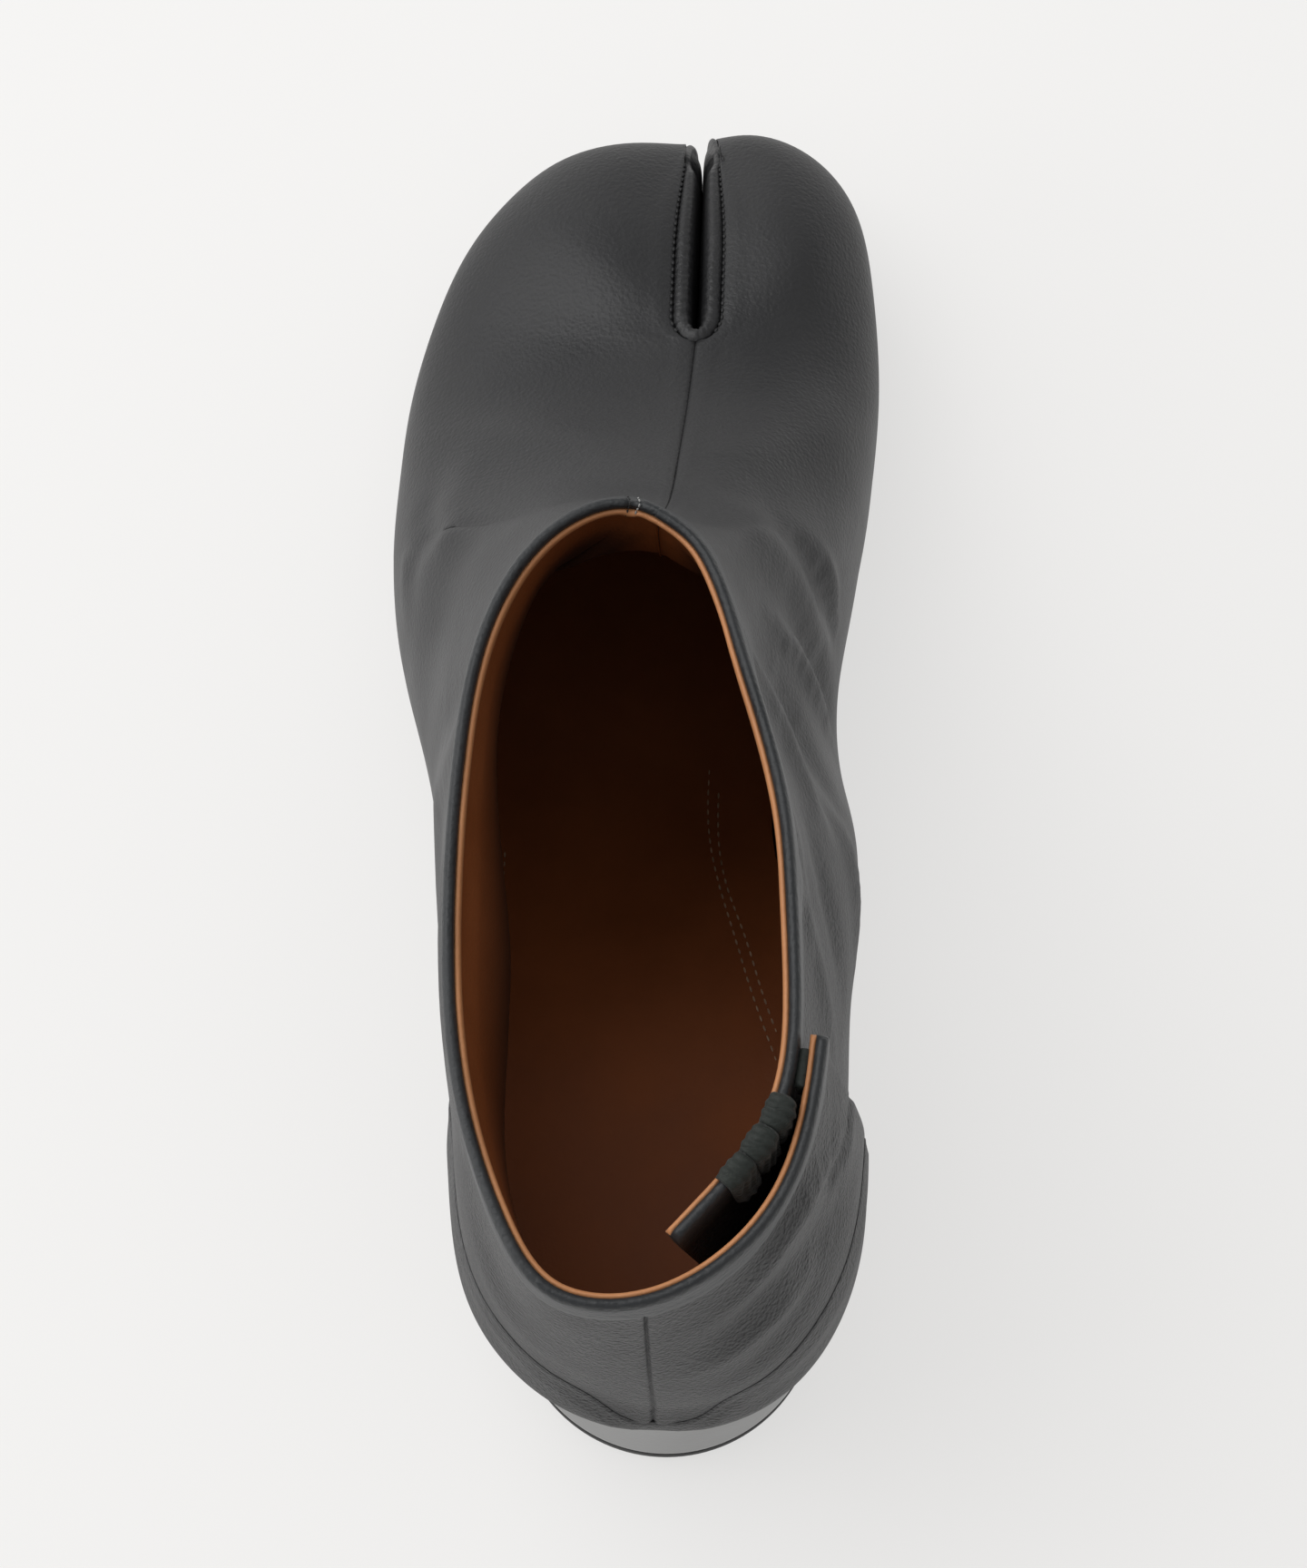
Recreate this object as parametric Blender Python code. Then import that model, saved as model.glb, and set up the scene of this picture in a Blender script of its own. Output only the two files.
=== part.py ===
"""Split-toe leather ankle boot for the left foot, built in metres with +Z up.

X points to the inner side of the foot and Y to the toes. The origin is the centre of the
heel's flat underside. Every wall of the upper is one sheet of ribs: a rib climbs from the
feather edge on the sole, past the widest line, to the top line, which is the split between
the toes, then the front seam, then the collar.
"""

import math

import bmesh
import bpy
import numpy as np

# Overall sizes of the foot form; its width grows from the heel's to the ball's between
# HEEL_END and BALL_START, which are shares of LENGTH
LENGTH = 0.2553
BALL_WIDTH = 0.0935
HEEL_WIDTH = 0.0700
HEEL_SETBACK = 0.0016
TOE_HEIGHT = 0.050
TUCK = 0.0050
HEEL_END = 0.193
BALL_START = 0.597

# Collar of the shaft, measured on the outside of its wall
COLLAR_HEIGHT = 0.1293
COLLAR_DIP = 0.0068
COLLAR_LENGTH = 0.1306
COLLAR_WIDTH = 0.0572
COLLAR_BACK = 0.0050
COLLAR_LEAN = 0.0056

# Split between the big toe and the others
SPLIT_LENGTH = 0.0480
SPLIT_OFFSET = 0.0055
SPLIT_LEAN = 0.036
SPLIT_WIDTH = 0.0090
SPLIT_GAP = 0.0016
SPLIT_SETBACK = 0.0090
LIP_HEIGHT = 0.0010

# Walls and layers
WALL = 0.0022
GUSSET_WALL = 0.0012
BAND_WALL = 0.0010
COUNTER_HEIGHT = 0.0350
COUNTER_LOWEST = 0.0040
BINDING_HEIGHT = 0.0027
BINDING_PROUD = 0.0005
BINDING_SECTION = (
    (-1.00, 0.00),
    (-1.00, 0.55),
    (-0.62, 0.90),
    (0.00, 1.00),
    (0.62, 0.90),
    (1.00, 0.55),
    (1.00, 0.00),
)
CLEARANCE = 0.0003

# Sole and heel; the outline of each plate passes from the outer strip's edge to the inner
# one's between the two places of its join
OUTSOLE_THICKNESS = 0.0040
SOLE_MARGIN = 0.0012
INSOLE_THICKNESS = 0.0030
OUTSOLE_JOIN = (0.0240, 0.0420)
INSOLE_JOIN = (-0.0060, 0.0120)
HEEL_HEIGHT = 0.0260
HEEL_RADIUS = 0.0278
HEEL_TAPER = 0.0018
HEEL_EDGE = 0.0004
SEAT_SLOPE = 0.085
TOP_PIECE = 0.0050
ARCH_LENGTH = 0.0836
TREAD_LENGTH = 0.0520
TOE_SPRING = 0.0080

# Loops on the underlap
LOOP_COUNT = 3
LOOP_PITCH = 0.0058
LOOP_DEPTH = 0.0100
LOOP_PUFF = 0.0024
LOOP_PUFF_FRONT = 0.0008
LOOP_DROP = 0.0005
LOOP_STAGES = (0.06, 0.30)
LOOP_MIDDLE = 0.42
LOOP_ROUND = 0.6

# Shape of a rib, as shares of its rise, shift, reach and span: the first of each pair at the
# split, the second at the collar
BELLY_RISE = (0.52, 0.34)
BELLY_SHIFT = 0.40
TOP_REACH = 0.50
TOP_SPAN = 0.33
FOOT_HANDLES = (0.42, 0.50)
FOOT_OUT = 0.75

# Stages at which the ribs change: 3 to 2 is the split, 2 to 1 the front seam and 1 to 0 the
# collar
TURN_STAGES = (0.45, 2.35)
LIP_STAGE = 2.45
LIP_ROUND = 0.12
LIP_CLOSING = 0.22
SPLIT_DIP = 0.32

# Colour and roughness of each piece
FINISH = {
    "upper": ((0.035, 0.035, 0.038), 0.45),
    "toe_gusset": ((0.030, 0.030, 0.033), 0.50),
    "counter_band": ((0.036, 0.036, 0.039), 0.45),
    "collar_binding": ((0.045, 0.050, 0.056), 0.50),
    "loop_band": ((0.030, 0.036, 0.033), 0.70),
    "outsole": ((0.050, 0.040, 0.035), 0.50),
    "insole": ((0.100, 0.045, 0.022), 0.60),
    "heel_block": ((0.030, 0.030, 0.032), 0.30),
    "heel_top_piece": ((0.020, 0.020, 0.020), 0.70),
}

HEEL_BACK = HEEL_SETBACK - HEEL_RADIUS
TOE_TIP = HEEL_BACK + LENGTH
COLLAR_REAR = HEEL_BACK + COLLAR_BACK
SPLIT_END = TOE_TIP - SPLIT_SETBACK - SPLIT_LENGTH


def table(columns, *rows):
    """Return a dictionary with one array for each named column."""
    data = np.array(rows, dtype=float)
    return {name: data[:, k] for k, name in enumerate(columns.split())}


# Widest line of the outer strip: from the split round the little toe, the outer ankle and
# the heel to the front edge of the flap. Along is a share of LENGTH, across of the local
# width, lift of the rib's height, and tuck of TUCK
OUTER_WIDE = table(
    "stage along across lift tuck",
    (3.000, 0.995, 0.047, 0.400, 0.80),
    (2.750, 0.991, -0.088, 0.420, 0.90),
    (2.500, 0.975, -0.218, 0.430, 1.00),
    (2.250, 0.936, -0.340, 0.440, 1.00),
    (2.000, 0.852, -0.468, 0.440, 1.00),
    (1.500, 0.741, -0.532, 0.310, 1.00),
    (1.000, 0.642, -0.552, 0.195, 1.00),
    (0.880, 0.550, -0.533, 0.210, 1.10),
    (0.750, 0.454, -0.495, 0.330, 1.60),
    (0.600, 0.298, -0.530, 0.360, 1.30),
    (0.470, 0.181, -0.525, 0.240, 0.60),
    (0.370, 0.075, -0.455, 0.210, 0.45),
    (0.300, 0.024, -0.291, 0.240, 0.47),
    (0.245, 0.001, -0.048, 0.265, 0.48),
    (0.180, 0.013, 0.205, 0.240, 0.47),
    (0.115, 0.054, 0.371, 0.210, 0.45),
    (0.050, 0.123, 0.468, 0.205, 0.62),
    (0.000, 0.179, 0.484, 0.220, 0.80),
)

# Widest line of the inner strip: from the split round the big toe and the inner ankle, then
# inside the flap to the end of the underlap
INNER_WIDE = table(
    "stage along across lift tuck",
    (3.000, 1.000, 0.106, 0.400, 0.80),
    (2.750, 0.998, 0.185, 0.420, 0.90),
    (2.500, 0.981, 0.296, 0.430, 1.00),
    (2.250, 0.942, 0.384, 0.440, 1.00),
    (2.000, 0.867, 0.432, 0.440, 1.00),
    (1.500, 0.770, 0.441, 0.310, 1.00),
    (1.000, 0.662, 0.406, 0.200, 1.00),
    (0.850, 0.571, 0.362, 0.220, 1.30),
    (0.680, 0.485, 0.350, 0.270, 1.90),
    (0.520, 0.375, 0.410, 0.400, 2.20),
    (0.360, 0.250, 0.435, 0.360, 1.60),
    (0.240, 0.163, 0.436, 0.260, 1.30),
    (0.100, 0.100, 0.392, 0.240, 1.20),
    (0.000, 0.062, 0.300, 0.240, 1.20),
)

# Collar edge of each strip, from the front seam to its free end: along is a share of
# COLLAR_LENGTH from the collar's rear, across of COLLAR_WIDTH from its middle
OUTER_COLLAR = table(
    "along across",
    (0.985, 0.082),
    (0.996, 0.033),
    (1.000, -0.051),
    (0.979, -0.177),
    (0.840, -0.402),
    (0.668, -0.477),
    (0.469, -0.497),
    (0.261, -0.463),
    (0.102, -0.353),
    (0.017, -0.217),
    (0.000, -0.007),
    (0.041, 0.220),
    (0.119, 0.388),
    (0.228, 0.479),
    (0.315, 0.510),
)
INNER_COLLAR = table(
    "along across",
    (0.985, 0.082),
    (0.969, 0.131),
    (0.945, 0.184),
    (0.911, 0.227),
    (0.815, 0.295),
    (0.696, 0.369),
    (0.583, 0.420),
    (0.472, 0.435),
    (0.362, 0.439),
    (0.282, 0.425),
    (0.203, 0.364),
    (0.148, 0.271),
    (0.075, 0.117),
)

# Height of the counter band above the feather edge, in shares of COUNTER_HEIGHT: from the sole
# on the outer side, down to a dip at the back seam, to the flap's front edge
COUNTER = table(
    "stage height",
    (0.60, 0.02),
    (0.52, 0.30),
    (0.45, 0.69),
    (0.385, 0.89),
    (0.34, 0.89),
    (0.30, 0.77),
    (0.27, 0.70),
    (0.24, 0.67),
    (0.21, 0.71),
    (0.18, 0.80),
    (0.14, 0.94),
    (0.10, 1.00),
    (0.06, 0.94),
    (0.00, 0.80),
)

# Height of the top line in front of the collar, as shares of the collar's front and toe
RIDGE = table(
    "stage collar toe",
    (1.00, 1.000, 0.00),
    (1.25, 0.560, 0.46),
    (1.50, 0.300, 0.74),
    (1.75, 0.115, 0.89),
    (2.00, 0.000, 1.00),
    (2.35, 0.000, 0.90),
    (2.70, 0.000, 0.80),
    (3.00, 0.000, 0.65),
)


def smooth(value, low, high):
    """Rise from 0 at low to 1 at high, level at both ends."""
    share = np.clip((np.asarray(value, dtype=float) - low) / (high - low), 0.0, 1.0)
    return share * share * (3.0 - 2.0 * share)


def unit(vectors):
    """Scale each vector of an array to length one."""
    return vectors / np.linalg.norm(vectors, axis=-1, keepdims=True)


def natural_spline(knots, values, at):
    """Read a natural cubic spline through the rows of values."""
    count = len(knots)
    step = np.diff(knots)
    slope = np.diff(values, axis=0) / step[:, None]
    system = np.eye(count)
    right = np.zeros_like(values)
    for k in range(1, count - 1):
        system[k, k - 1 : k + 2] = step[k - 1], 2.0 * (step[k - 1] + step[k]), step[k]
        right[k] = 6.0 * (slope[k] - slope[k - 1])
    bend = np.linalg.solve(system, right)
    cell = np.clip(np.searchsorted(knots, at) - 1, 0, count - 2)
    before = (knots[cell + 1] - at)[:, None]
    after = (at - knots[cell])[:, None]
    width = step[cell][:, None]
    return (
        (bend[cell] * before**3 + bend[cell + 1] * after**3) / (6.0 * width)
        + (values[cell] / width - bend[cell] * width / 6.0) * before
        + (values[cell + 1] / width - bend[cell + 1] * width / 6.0) * after
    )


def run_length(points):
    """Return the distance along a row of points, from its first."""
    return np.concatenate([[0.0], np.cumsum(np.linalg.norm(np.diff(points, axis=0), axis=1))])


def sole_under(y):
    """Height of the outsole's underside: seat, arch, tread and toe spring."""
    y = np.asarray(y, dtype=float)
    seat = HEEL_HEIGHT - SEAT_SLOPE * np.minimum(y, HEEL_RADIUS)
    share = np.clip((y - HEEL_RADIUS) / ARCH_LENGTH, 0.0, 1.0)
    fall = (1.0 - share) ** 2
    arch = seat * fall * (1.0 + 2.0 * share) - SEAT_SLOPE * ARCH_LENGTH * share * fall
    tread_end = HEEL_RADIUS + ARCH_LENGTH + TREAD_LENGTH
    spring = TOE_SPRING * np.clip((y - tread_end) / (TOE_TIP - tread_end), 0.0, None) ** 2
    return arch + spring


def sole_top(y):
    """Height of the outsole's upper face."""
    return sole_under(y) + OUTSOLE_THICKNESS


def local_width(along):
    """Blend from the heel's width to the ball's along the foot."""
    return HEEL_WIDTH + (BALL_WIDTH - HEEL_WIDTH) * smooth(along, HEEL_END, BALL_START)


def split_middle(y):
    """Middle line of the split in plan, leaning to the inner side at the toes."""
    return SPLIT_OFFSET + SPLIT_LEAN * (y - SPLIT_END)


def split_half(share, half, turn):
    """Half width of a slot with a round end, share 0 at that end."""
    return half * np.sqrt(np.clip(1.0 - (1.0 - np.clip(share / turn, 0.0, 1.0)) ** 2, 0.0, 1.0))


def collar_point(collar, share):
    """Read the collar edge at shares of its run, 0 at the front seam."""
    y = COLLAR_REAR + collar["along"] * COLLAR_LENGTH
    x = -COLLAR_LEAN + collar["across"] * COLLAR_WIDTH
    rows = np.stack([x, y], axis=1)
    knots = run_length(rows)
    plan = natural_spline(knots, rows, np.asarray(share) * knots[-1])
    forward = (plan[:, 1] - COLLAR_REAR) / COLLAR_LENGTH
    height = COLLAR_HEIGHT - COLLAR_DIP * np.clip(forward, 0.0, 1.0) ** 1.5
    return np.column_stack([plan, height])


def lip_half(stage):
    """Half width of the opening in the upper at the split, 0 behind it."""
    split = np.clip(stage - 2.0, 0.0, 1.0)
    closing = 1.0 - LIP_CLOSING * smooth(split, LIP_STAGE - 2.0, 1.0)
    return split_half(split, SPLIT_WIDTH / 2.0, LIP_ROUND) * closing


def ridge_point(stage):
    """Read the top line in front of the collar: the front seam, then the split's middle."""
    front = collar_point(OUTER_COLLAR, np.array([0.0]))[0]
    seam = np.clip(stage - 1.0, 0.0, 1.0)
    split = np.clip(stage - 2.0, 0.0, 1.0)
    y = front[1] + seam * (SPLIT_END - front[1]) + split * SPLIT_LENGTH
    x = np.where(stage > 2.0, split_middle(y), front[0] + seam * (SPLIT_OFFSET - front[0]))
    shares = np.stack([RIDGE["collar"], RIDGE["toe"]], axis=1)
    mix = natural_spline(RIDGE["stage"], shares, np.asarray(stage, dtype=float))
    return np.column_stack([x, y, mix[:, 0] * front[2] + mix[:, 1] * TOE_HEIGHT])


def strip_lines(wide, collar, side, stage):
    """Work out the feather, widest and top points of the ribs at the given stages."""
    width = local_width(wide["along"])
    plan = np.stack([wide["across"] * width, HEEL_BACK + wide["along"] * LENGTH], axis=1)
    knots = run_length(plan)
    columns = np.stack([plan[:, 0], plan[:, 1], wide["lift"], wide["tuck"], wide["stage"]], axis=1)
    fine = np.linspace(0.0, knots[-1], 600)
    reading = natural_spline(knots, columns, fine)
    place = np.interp(-stage, -reading[:, 4], fine)
    row = natural_spline(knots, columns, place)
    ahead = natural_spline(knots, columns, np.clip(place + 1e-4, 0.0, knots[-1]))
    behind = natural_spline(knots, columns, np.clip(place - 1e-4, 0.0, knots[-1]))
    run = unit(ahead[:, :2] - behind[:, :2])
    outward = side * np.column_stack([-run[:, 1], run[:, 0]])
    top = np.where(
        (stage >= 1.0)[:, None],
        ridge_point(stage),
        collar_point(collar, np.clip(1.0 - stage, 0.0, 1.0)),
    )
    top[:, 0] += side * lip_half(stage) * smooth(stage, 2.0, LIP_STAGE)
    floor = sole_top(row[:, 1]) + CLEARANCE
    widest = np.column_stack([row[:, :2], floor + row[:, 2] * (top[:, 2] - floor)])
    feather = row[:, :2] - outward * (row[:, 3] * TUCK)[:, None]
    feather = np.column_stack([feather, sole_top(feather[:, 1]) + CLEARANCE])
    return feather, widest, top, np.column_stack([outward, np.zeros(len(stage))])


def wall_turn(stage):
    """Share of a rib's turn at its top: 0 across the split, 1 straight up to the collar."""
    return 1.0 - smooth(stage, *TURN_STAGES)[:, None]


def top_directions(widest, top, collar, side, stage):
    """Return the wall's own upward direction and the rib's direction at the top line."""
    lean = unit((top - widest) * np.array([0.45, 0.45, 1.0]))
    seam = np.clip(stage, 1.0, 1.98)
    front = unit(ridge_point(seam) - ridge_point(seam + 0.02))
    near = smooth(1.0 - stage, 0.0, 0.28)[:, None]
    climb = unit(front * (1.0 - near) + lean * near)
    share = np.clip(1.0 - stage, 0.01, 0.99)
    edge = unit(collar_point(collar, share - 0.01) - collar_point(collar, share + 0.01))
    dip = SPLIT_DIP * smooth(stage, 1.9, 2.3)[:, None]
    level = unit(np.hstack([-side * np.ones_like(dip), np.zeros_like(dip), -dip]))
    fade = smooth(stage, 1.0, 1.7)[:, None]
    across = unit(edge * (1.0 - fade) + level * fade)
    tip = smooth(stage, LIP_STAGE, 3.0)[:, None] * math.pi / 2.0
    last = ridge_point(np.array([2.9, 3.0]))
    back = unit((last[0] - last[1]) * np.array([0.0, 1.0, 1.0]))
    toward = across * np.cos(tip) + back * np.sin(tip)
    turn = wall_turn(stage) * math.pi / 2.0
    return climb, unit(toward * np.cos(turn) + climb * np.sin(turn))


def bezier(a, b, c, d, t):
    """Cubic curve between rows a and d, at shares t that may differ from row to row."""
    a, b, c, d = (p[:, None, :] for p in (a, b, c, d))
    t = np.atleast_2d(t)[:, :, None]
    return a * (1 - t) ** 3 + 3 * b * t * (1 - t) ** 2 + 3 * c * t**2 * (1 - t) + d * t**3


def strip_grid(wide, collar, side, stage, low=4, high=8, lift=None):
    """Return the outer face of a strip as a grid of ribs by heights."""
    feather, widest, top, outward = strip_lines(wide, collar, side, stage)
    if lift is not None:
        share = (lift / (widest[:, 2] - feather[:, 2]))[:, None]
        feather = feather + (widest - feather) * share * np.array([0.35, 0.35, 1.0])
    climb, arrive = top_directions(widest, top, collar, side, stage)
    up = np.array([0.0, 0.0, 1.0])
    drop = (widest - feather)[:, 2:3]
    start = unit(outward * FOOT_OUT + up)
    foot = bezier(
        feather,
        feather + start * drop * FOOT_HANDLES[0],
        widest - up * drop * FOOT_HANDLES[1],
        widest,
        np.linspace(0.0, 1.0, low + 1),
    )
    rise = (top - widest)[:, 2:3]
    turned = wall_turn(stage)
    reach = np.linalg.norm((top - widest)[:, :2], axis=1, keepdims=True)
    span = np.linalg.norm(top - widest, axis=1, keepdims=True)
    run = unit(np.cross(outward, up))
    shift = run * np.sum((top - widest) * run, axis=1, keepdims=True)
    belly = BELLY_RISE[0] + (BELLY_RISE[1] - BELLY_RISE[0]) * turned
    handle = reach * TOP_REACH * (1.0 - turned) + span * TOP_SPAN * turned
    rib = (widest, widest + up * rise * belly + shift * BELLY_SHIFT, top - arrive * handle, top)
    share = np.linspace(0.0, 1.0, 81)
    fine = bezier(*rib, share)
    apart = side * (fine[:, :, 0] - split_middle(fine[:, :, 1]))
    half = lip_half(stage)
    end = np.ones(len(stage))
    for k in np.flatnonzero((stage > 2.0) & (stage < LIP_STAGE)):
        end[k] = np.interp(half[k], apart[k, ::-1], share[::-1])
    body = bezier(*rib, end[:, None] * np.linspace(0.0, 1.0, high + 1))
    return np.concatenate([foot, body[:, 1:]], axis=1)


def stages(split, seam, collar):
    """Spread rib stages over the split, the front seam and the collar."""
    bow = 1.0 - np.cos(np.linspace(math.pi / 2.0, 0.0, split + 1))
    return np.concatenate(
        [
            2.0 + bow[:-1],
            2.0 - np.linspace(0.0, 1.0, seam + 1)[:-1],
            1.0 - np.linspace(0.0, 1.0, collar + 1),
        ]
    )


def grid_faces(columns, rows, start=0):
    """Return the quads of a grid of columns by rows."""
    first = start + np.arange((columns - 1))[:, None] * rows + np.arange(rows - 1)[None, :]
    first = first.ravel()
    return np.stack([first, first + rows, first + rows + 1, first + 1], axis=1)


def make_object(name, points, faces, merge=1e-6):
    """Make a named mesh object with its own material, closed faces pointing out."""
    mesh = bpy.data.meshes.new(name)
    mesh.from_pydata([tuple(p) for p in points], [], [tuple(int(i) for i in f) for f in faces])
    build = bmesh.new()
    build.from_mesh(mesh)
    bmesh.ops.remove_doubles(build, verts=build.verts, dist=merge)
    bmesh.ops.recalc_face_normals(build, faces=build.faces)
    build.to_mesh(mesh)
    build.free()
    mesh.shade_smooth()
    material = bpy.data.materials.new(name)
    material.use_nodes = True
    colour, roughness = FINISH[name]
    shader = material.node_tree.nodes["Principled BSDF"]
    shader.inputs["Base Color"].default_value = (*colour, 1.0)
    shader.inputs["Roughness"].default_value = roughness
    mesh.materials.append(material)
    obj = bpy.data.objects.new(name, mesh)
    bpy.context.collection.objects.link(obj)
    return obj


def slab(name, inner, outer):
    """Close the space between two equal grids into one solid."""
    columns, rows = inner.shape[:2]
    count = columns * rows
    points = np.concatenate([inner.reshape(-1, 3), outer.reshape(-1, 3)])
    faces = [tuple(f) for f in grid_faces(columns, rows)[:, ::-1]]
    faces += [tuple(f) for f in grid_faces(columns, rows, count)]
    index = np.arange(count).reshape(columns, rows)
    ring = np.concatenate([index[:, 0], index[-1, 1:], index[-2::-1, -1], index[0, -2:0:-1]])
    following = np.roll(ring, -1)
    faces += [tuple(f) for f in np.stack([ring, following, following + count, ring + count], axis=1)]
    return make_object(name, points, faces)


def tube(name, rings):
    """Join a row of closed rings into one solid with a flat face at each end."""
    count = rings.shape[1]
    index = np.arange(rings.shape[0] * count).reshape(rings.shape[:2])
    following = np.roll(index, -1, axis=1)
    sides = np.stack([index[:-1], following[:-1], following[1:], index[1:]], axis=2)
    faces = [tuple(f) for f in sides.reshape(-1, 4)] + [tuple(index[0]), tuple(index[-1])]
    return make_object(name, rings.reshape(-1, 3), faces)


def grid_normals(grid, side):
    """Return outward unit normals of a strip's grid."""
    along = np.gradient(grid, axis=0)
    up = np.gradient(grid, axis=1)
    return unit(side * np.cross(up, along))


OUTER_STAGES = stages(10, 7, 40)
INNER_STAGES = stages(10, 7, 26)


def underlap_lift():
    """Lift of the underlap's foot above the insole, for each inner rib."""
    y = strip_lines(INNER_WIDE, INNER_COLLAR, 1, INNER_STAGES)[1][:, 1]
    flap_y = strip_lines(OUTER_WIDE, OUTER_COLLAR, -1, np.array([0.0]))[1][0, 1]
    high = INSOLE_THICKNESS + 3.0 * CLEARANCE + 0.0015
    return high * (1.0 - smooth(y, flap_y - 0.010, flap_y - 0.002))


def build_upper():
    """Join both strips along the front seam and give the sheet its wall."""
    outer = strip_grid(OUTER_WIDE, OUTER_COLLAR, -1, OUTER_STAGES)
    inner = strip_grid(INNER_WIDE, INNER_COLLAR, 1, INNER_STAGES, lift=underlap_lift())
    rows = outer.shape[1]
    points = np.concatenate([outer.reshape(-1, 3), inner.reshape(-1, 3)])
    faces = np.concatenate(
        [grid_faces(len(outer), rows), grid_faces(len(inner), rows, outer.size // 3)[:, ::-1]]
    )
    upper = make_object("upper", points, faces)
    mesh = upper.data
    middle = np.array([0.0, 0.06, 0.05])
    tilt = sum((np.array(f.center) - middle) @ np.array(f.normal) * f.area for f in mesh.polygons)
    if tilt < 0.0:
        mesh.flip_normals()
    wall = upper.modifiers.new("wall", "SOLIDIFY")
    wall.thickness = WALL
    wall.offset = -1.0
    wall.use_even_offset = True
    wall.use_quality_normals = True
    return upper


def split_walls(side, share):
    """Edge of the slot between the toes in plan, share 0 at its closed end."""
    deep = (SPLIT_WIDTH - SPLIT_GAP) / 2.0
    y = SPLIT_END + deep + share * (SPLIT_LENGTH - deep)
    return np.column_stack([split_middle(y) + side * split_half(share, SPLIT_GAP / 2.0, 0.04), y])


def gusset_half(side):
    """Columns of the gusset on one side: hem, rolled lip and wall down to the sole."""
    strip = (OUTER_WIDE, OUTER_COLLAR) if side < 0 else (INNER_WIDE, INNER_COLLAR)
    front = strip_grid(*strip, side, np.array([3.0]))[0]
    share = (1.0 - np.cos(np.linspace(math.pi / 2.0, 0.0, 13)))[1:]
    top = strip_grid(*strip, side, 2.0 + share)[:, -1]
    hem = np.concatenate([front, top])
    run = run_length(hem)
    run = run / run[-1]
    step = np.gradient(hem, axis=0)
    normal = unit(np.column_stack([np.zeros(len(hem)), step[:, 2], -step[:, 1]]))
    gap = np.column_stack([split_middle(front[:, 1]) + side * SPLIT_GAP / 2.0, front[:, 1]])
    gap = np.concatenate([gap, split_walls(side, share)])
    reach = np.column_stack([gap - hem[:, :2], np.zeros(len(hem))])
    width = np.linalg.norm(reach, axis=1, keepdims=True)
    toward = reach / width
    lip = LIP_HEIGHT * smooth(run, 0.02, 0.15)[:, None]
    hem = hem + toward * CLEARANCE
    rolled = bezier(
        hem,
        hem + toward * width * 0.25 + normal * lip * 1.6,
        hem + toward * (width - CLEARANCE) + normal * lip * 1.6,
        hem + toward * (width - CLEARANCE) - normal * width * 0.55,
        np.linspace(0.0, 1.0, 5),
    )
    foot_y = front[0, 1] - 0.0030 + run * (gap[-1, 1] - front[0, 1] + 0.0030)
    foot = np.column_stack([gap[:, 0], foot_y, sole_top(foot_y) + CLEARANCE])
    t = np.array([0.25, 0.5, 0.75, 1.0])[None, :, None]
    wall = rolled[:, -1:, :] * (1.0 - t) + foot[:, None, :] * t
    return np.concatenate([rolled, wall], axis=1)


def build_gusset():
    """Line the split with one strip, from the inner toe round to the outer toes."""
    outer = gusset_half(-1)
    inner = gusset_half(1)
    face = np.concatenate([inner, outer[-2::-1]])
    along = np.gradient(face, axis=0)
    down = np.gradient(face, axis=1)
    normal = unit(np.cross(along, down))
    return slab("toe_gusset", face, face + normal * GUSSET_WALL)


def rib_part(grid, low, high, rows):
    """Cut each rib of a grid between two heights, which are given rib by rib."""
    share = np.linspace(0.0, 1.0, rows)
    cut = np.empty((len(grid), rows, 3))
    for k, rib in enumerate(grid):
        height = low[k] + share * (high[k] - low[k])
        for axis in range(3):
            cut[k, :, axis] = np.interp(height, rib[:, 2], rib[:, axis])
    return cut


def build_counter_band():
    """Cut the heel panel from the outer strip and raise it over the wall."""
    stage = np.linspace(COUNTER["stage"][0], 0.0, 34)
    grid = strip_grid(OUTER_WIDE, OUTER_COLLAR, -1, stage, low=10, high=12)
    foot = grid[:, 0, 2]
    height = natural_spline(-COUNTER["stage"], COUNTER["height"][:, None], -stage)[:, 0]
    high = foot + COUNTER_HEIGHT * height
    keep = high - foot > COUNTER_LOWEST
    grid, foot, high = grid[keep], foot[keep], high[keep]
    band = rib_part(grid, foot, high, 8)
    normal = grid_normals(band, -1)
    normal[:, 0, 2] = 0.0
    normal = unit(normal)
    inner = band + normal * CLEARANCE
    return slab("counter_band", inner, inner + normal * BAND_WALL)


def collar_run(count_inner, count_outer):
    """Follow the collar from the underlap's end to the flap's tip, with its frame."""
    inner_stage = np.linspace(0.0, 1.0, count_inner)
    outer_stage = np.linspace(1.0, 0.0, count_outer)[1:]
    parts = []
    for wide, collar, side, stage in (
        (INNER_WIDE, INNER_COLLAR, 1, inner_stage),
        (OUTER_WIDE, OUTER_COLLAR, -1, outer_stage),
    ):
        feather, widest, top, outward = strip_lines(wide, collar, side, stage)
        edge = collar_point(collar, 1.0 - stage)
        parts.append((edge, top_directions(widest, edge, collar, side, stage)[0]))
    path = np.concatenate([part[0] for part in parts])
    climb = np.concatenate([part[1] for part in parts])
    run = unit(np.gradient(path, axis=0))
    outward = unit(np.cross(run, climb))
    return path, outward, climb


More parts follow.
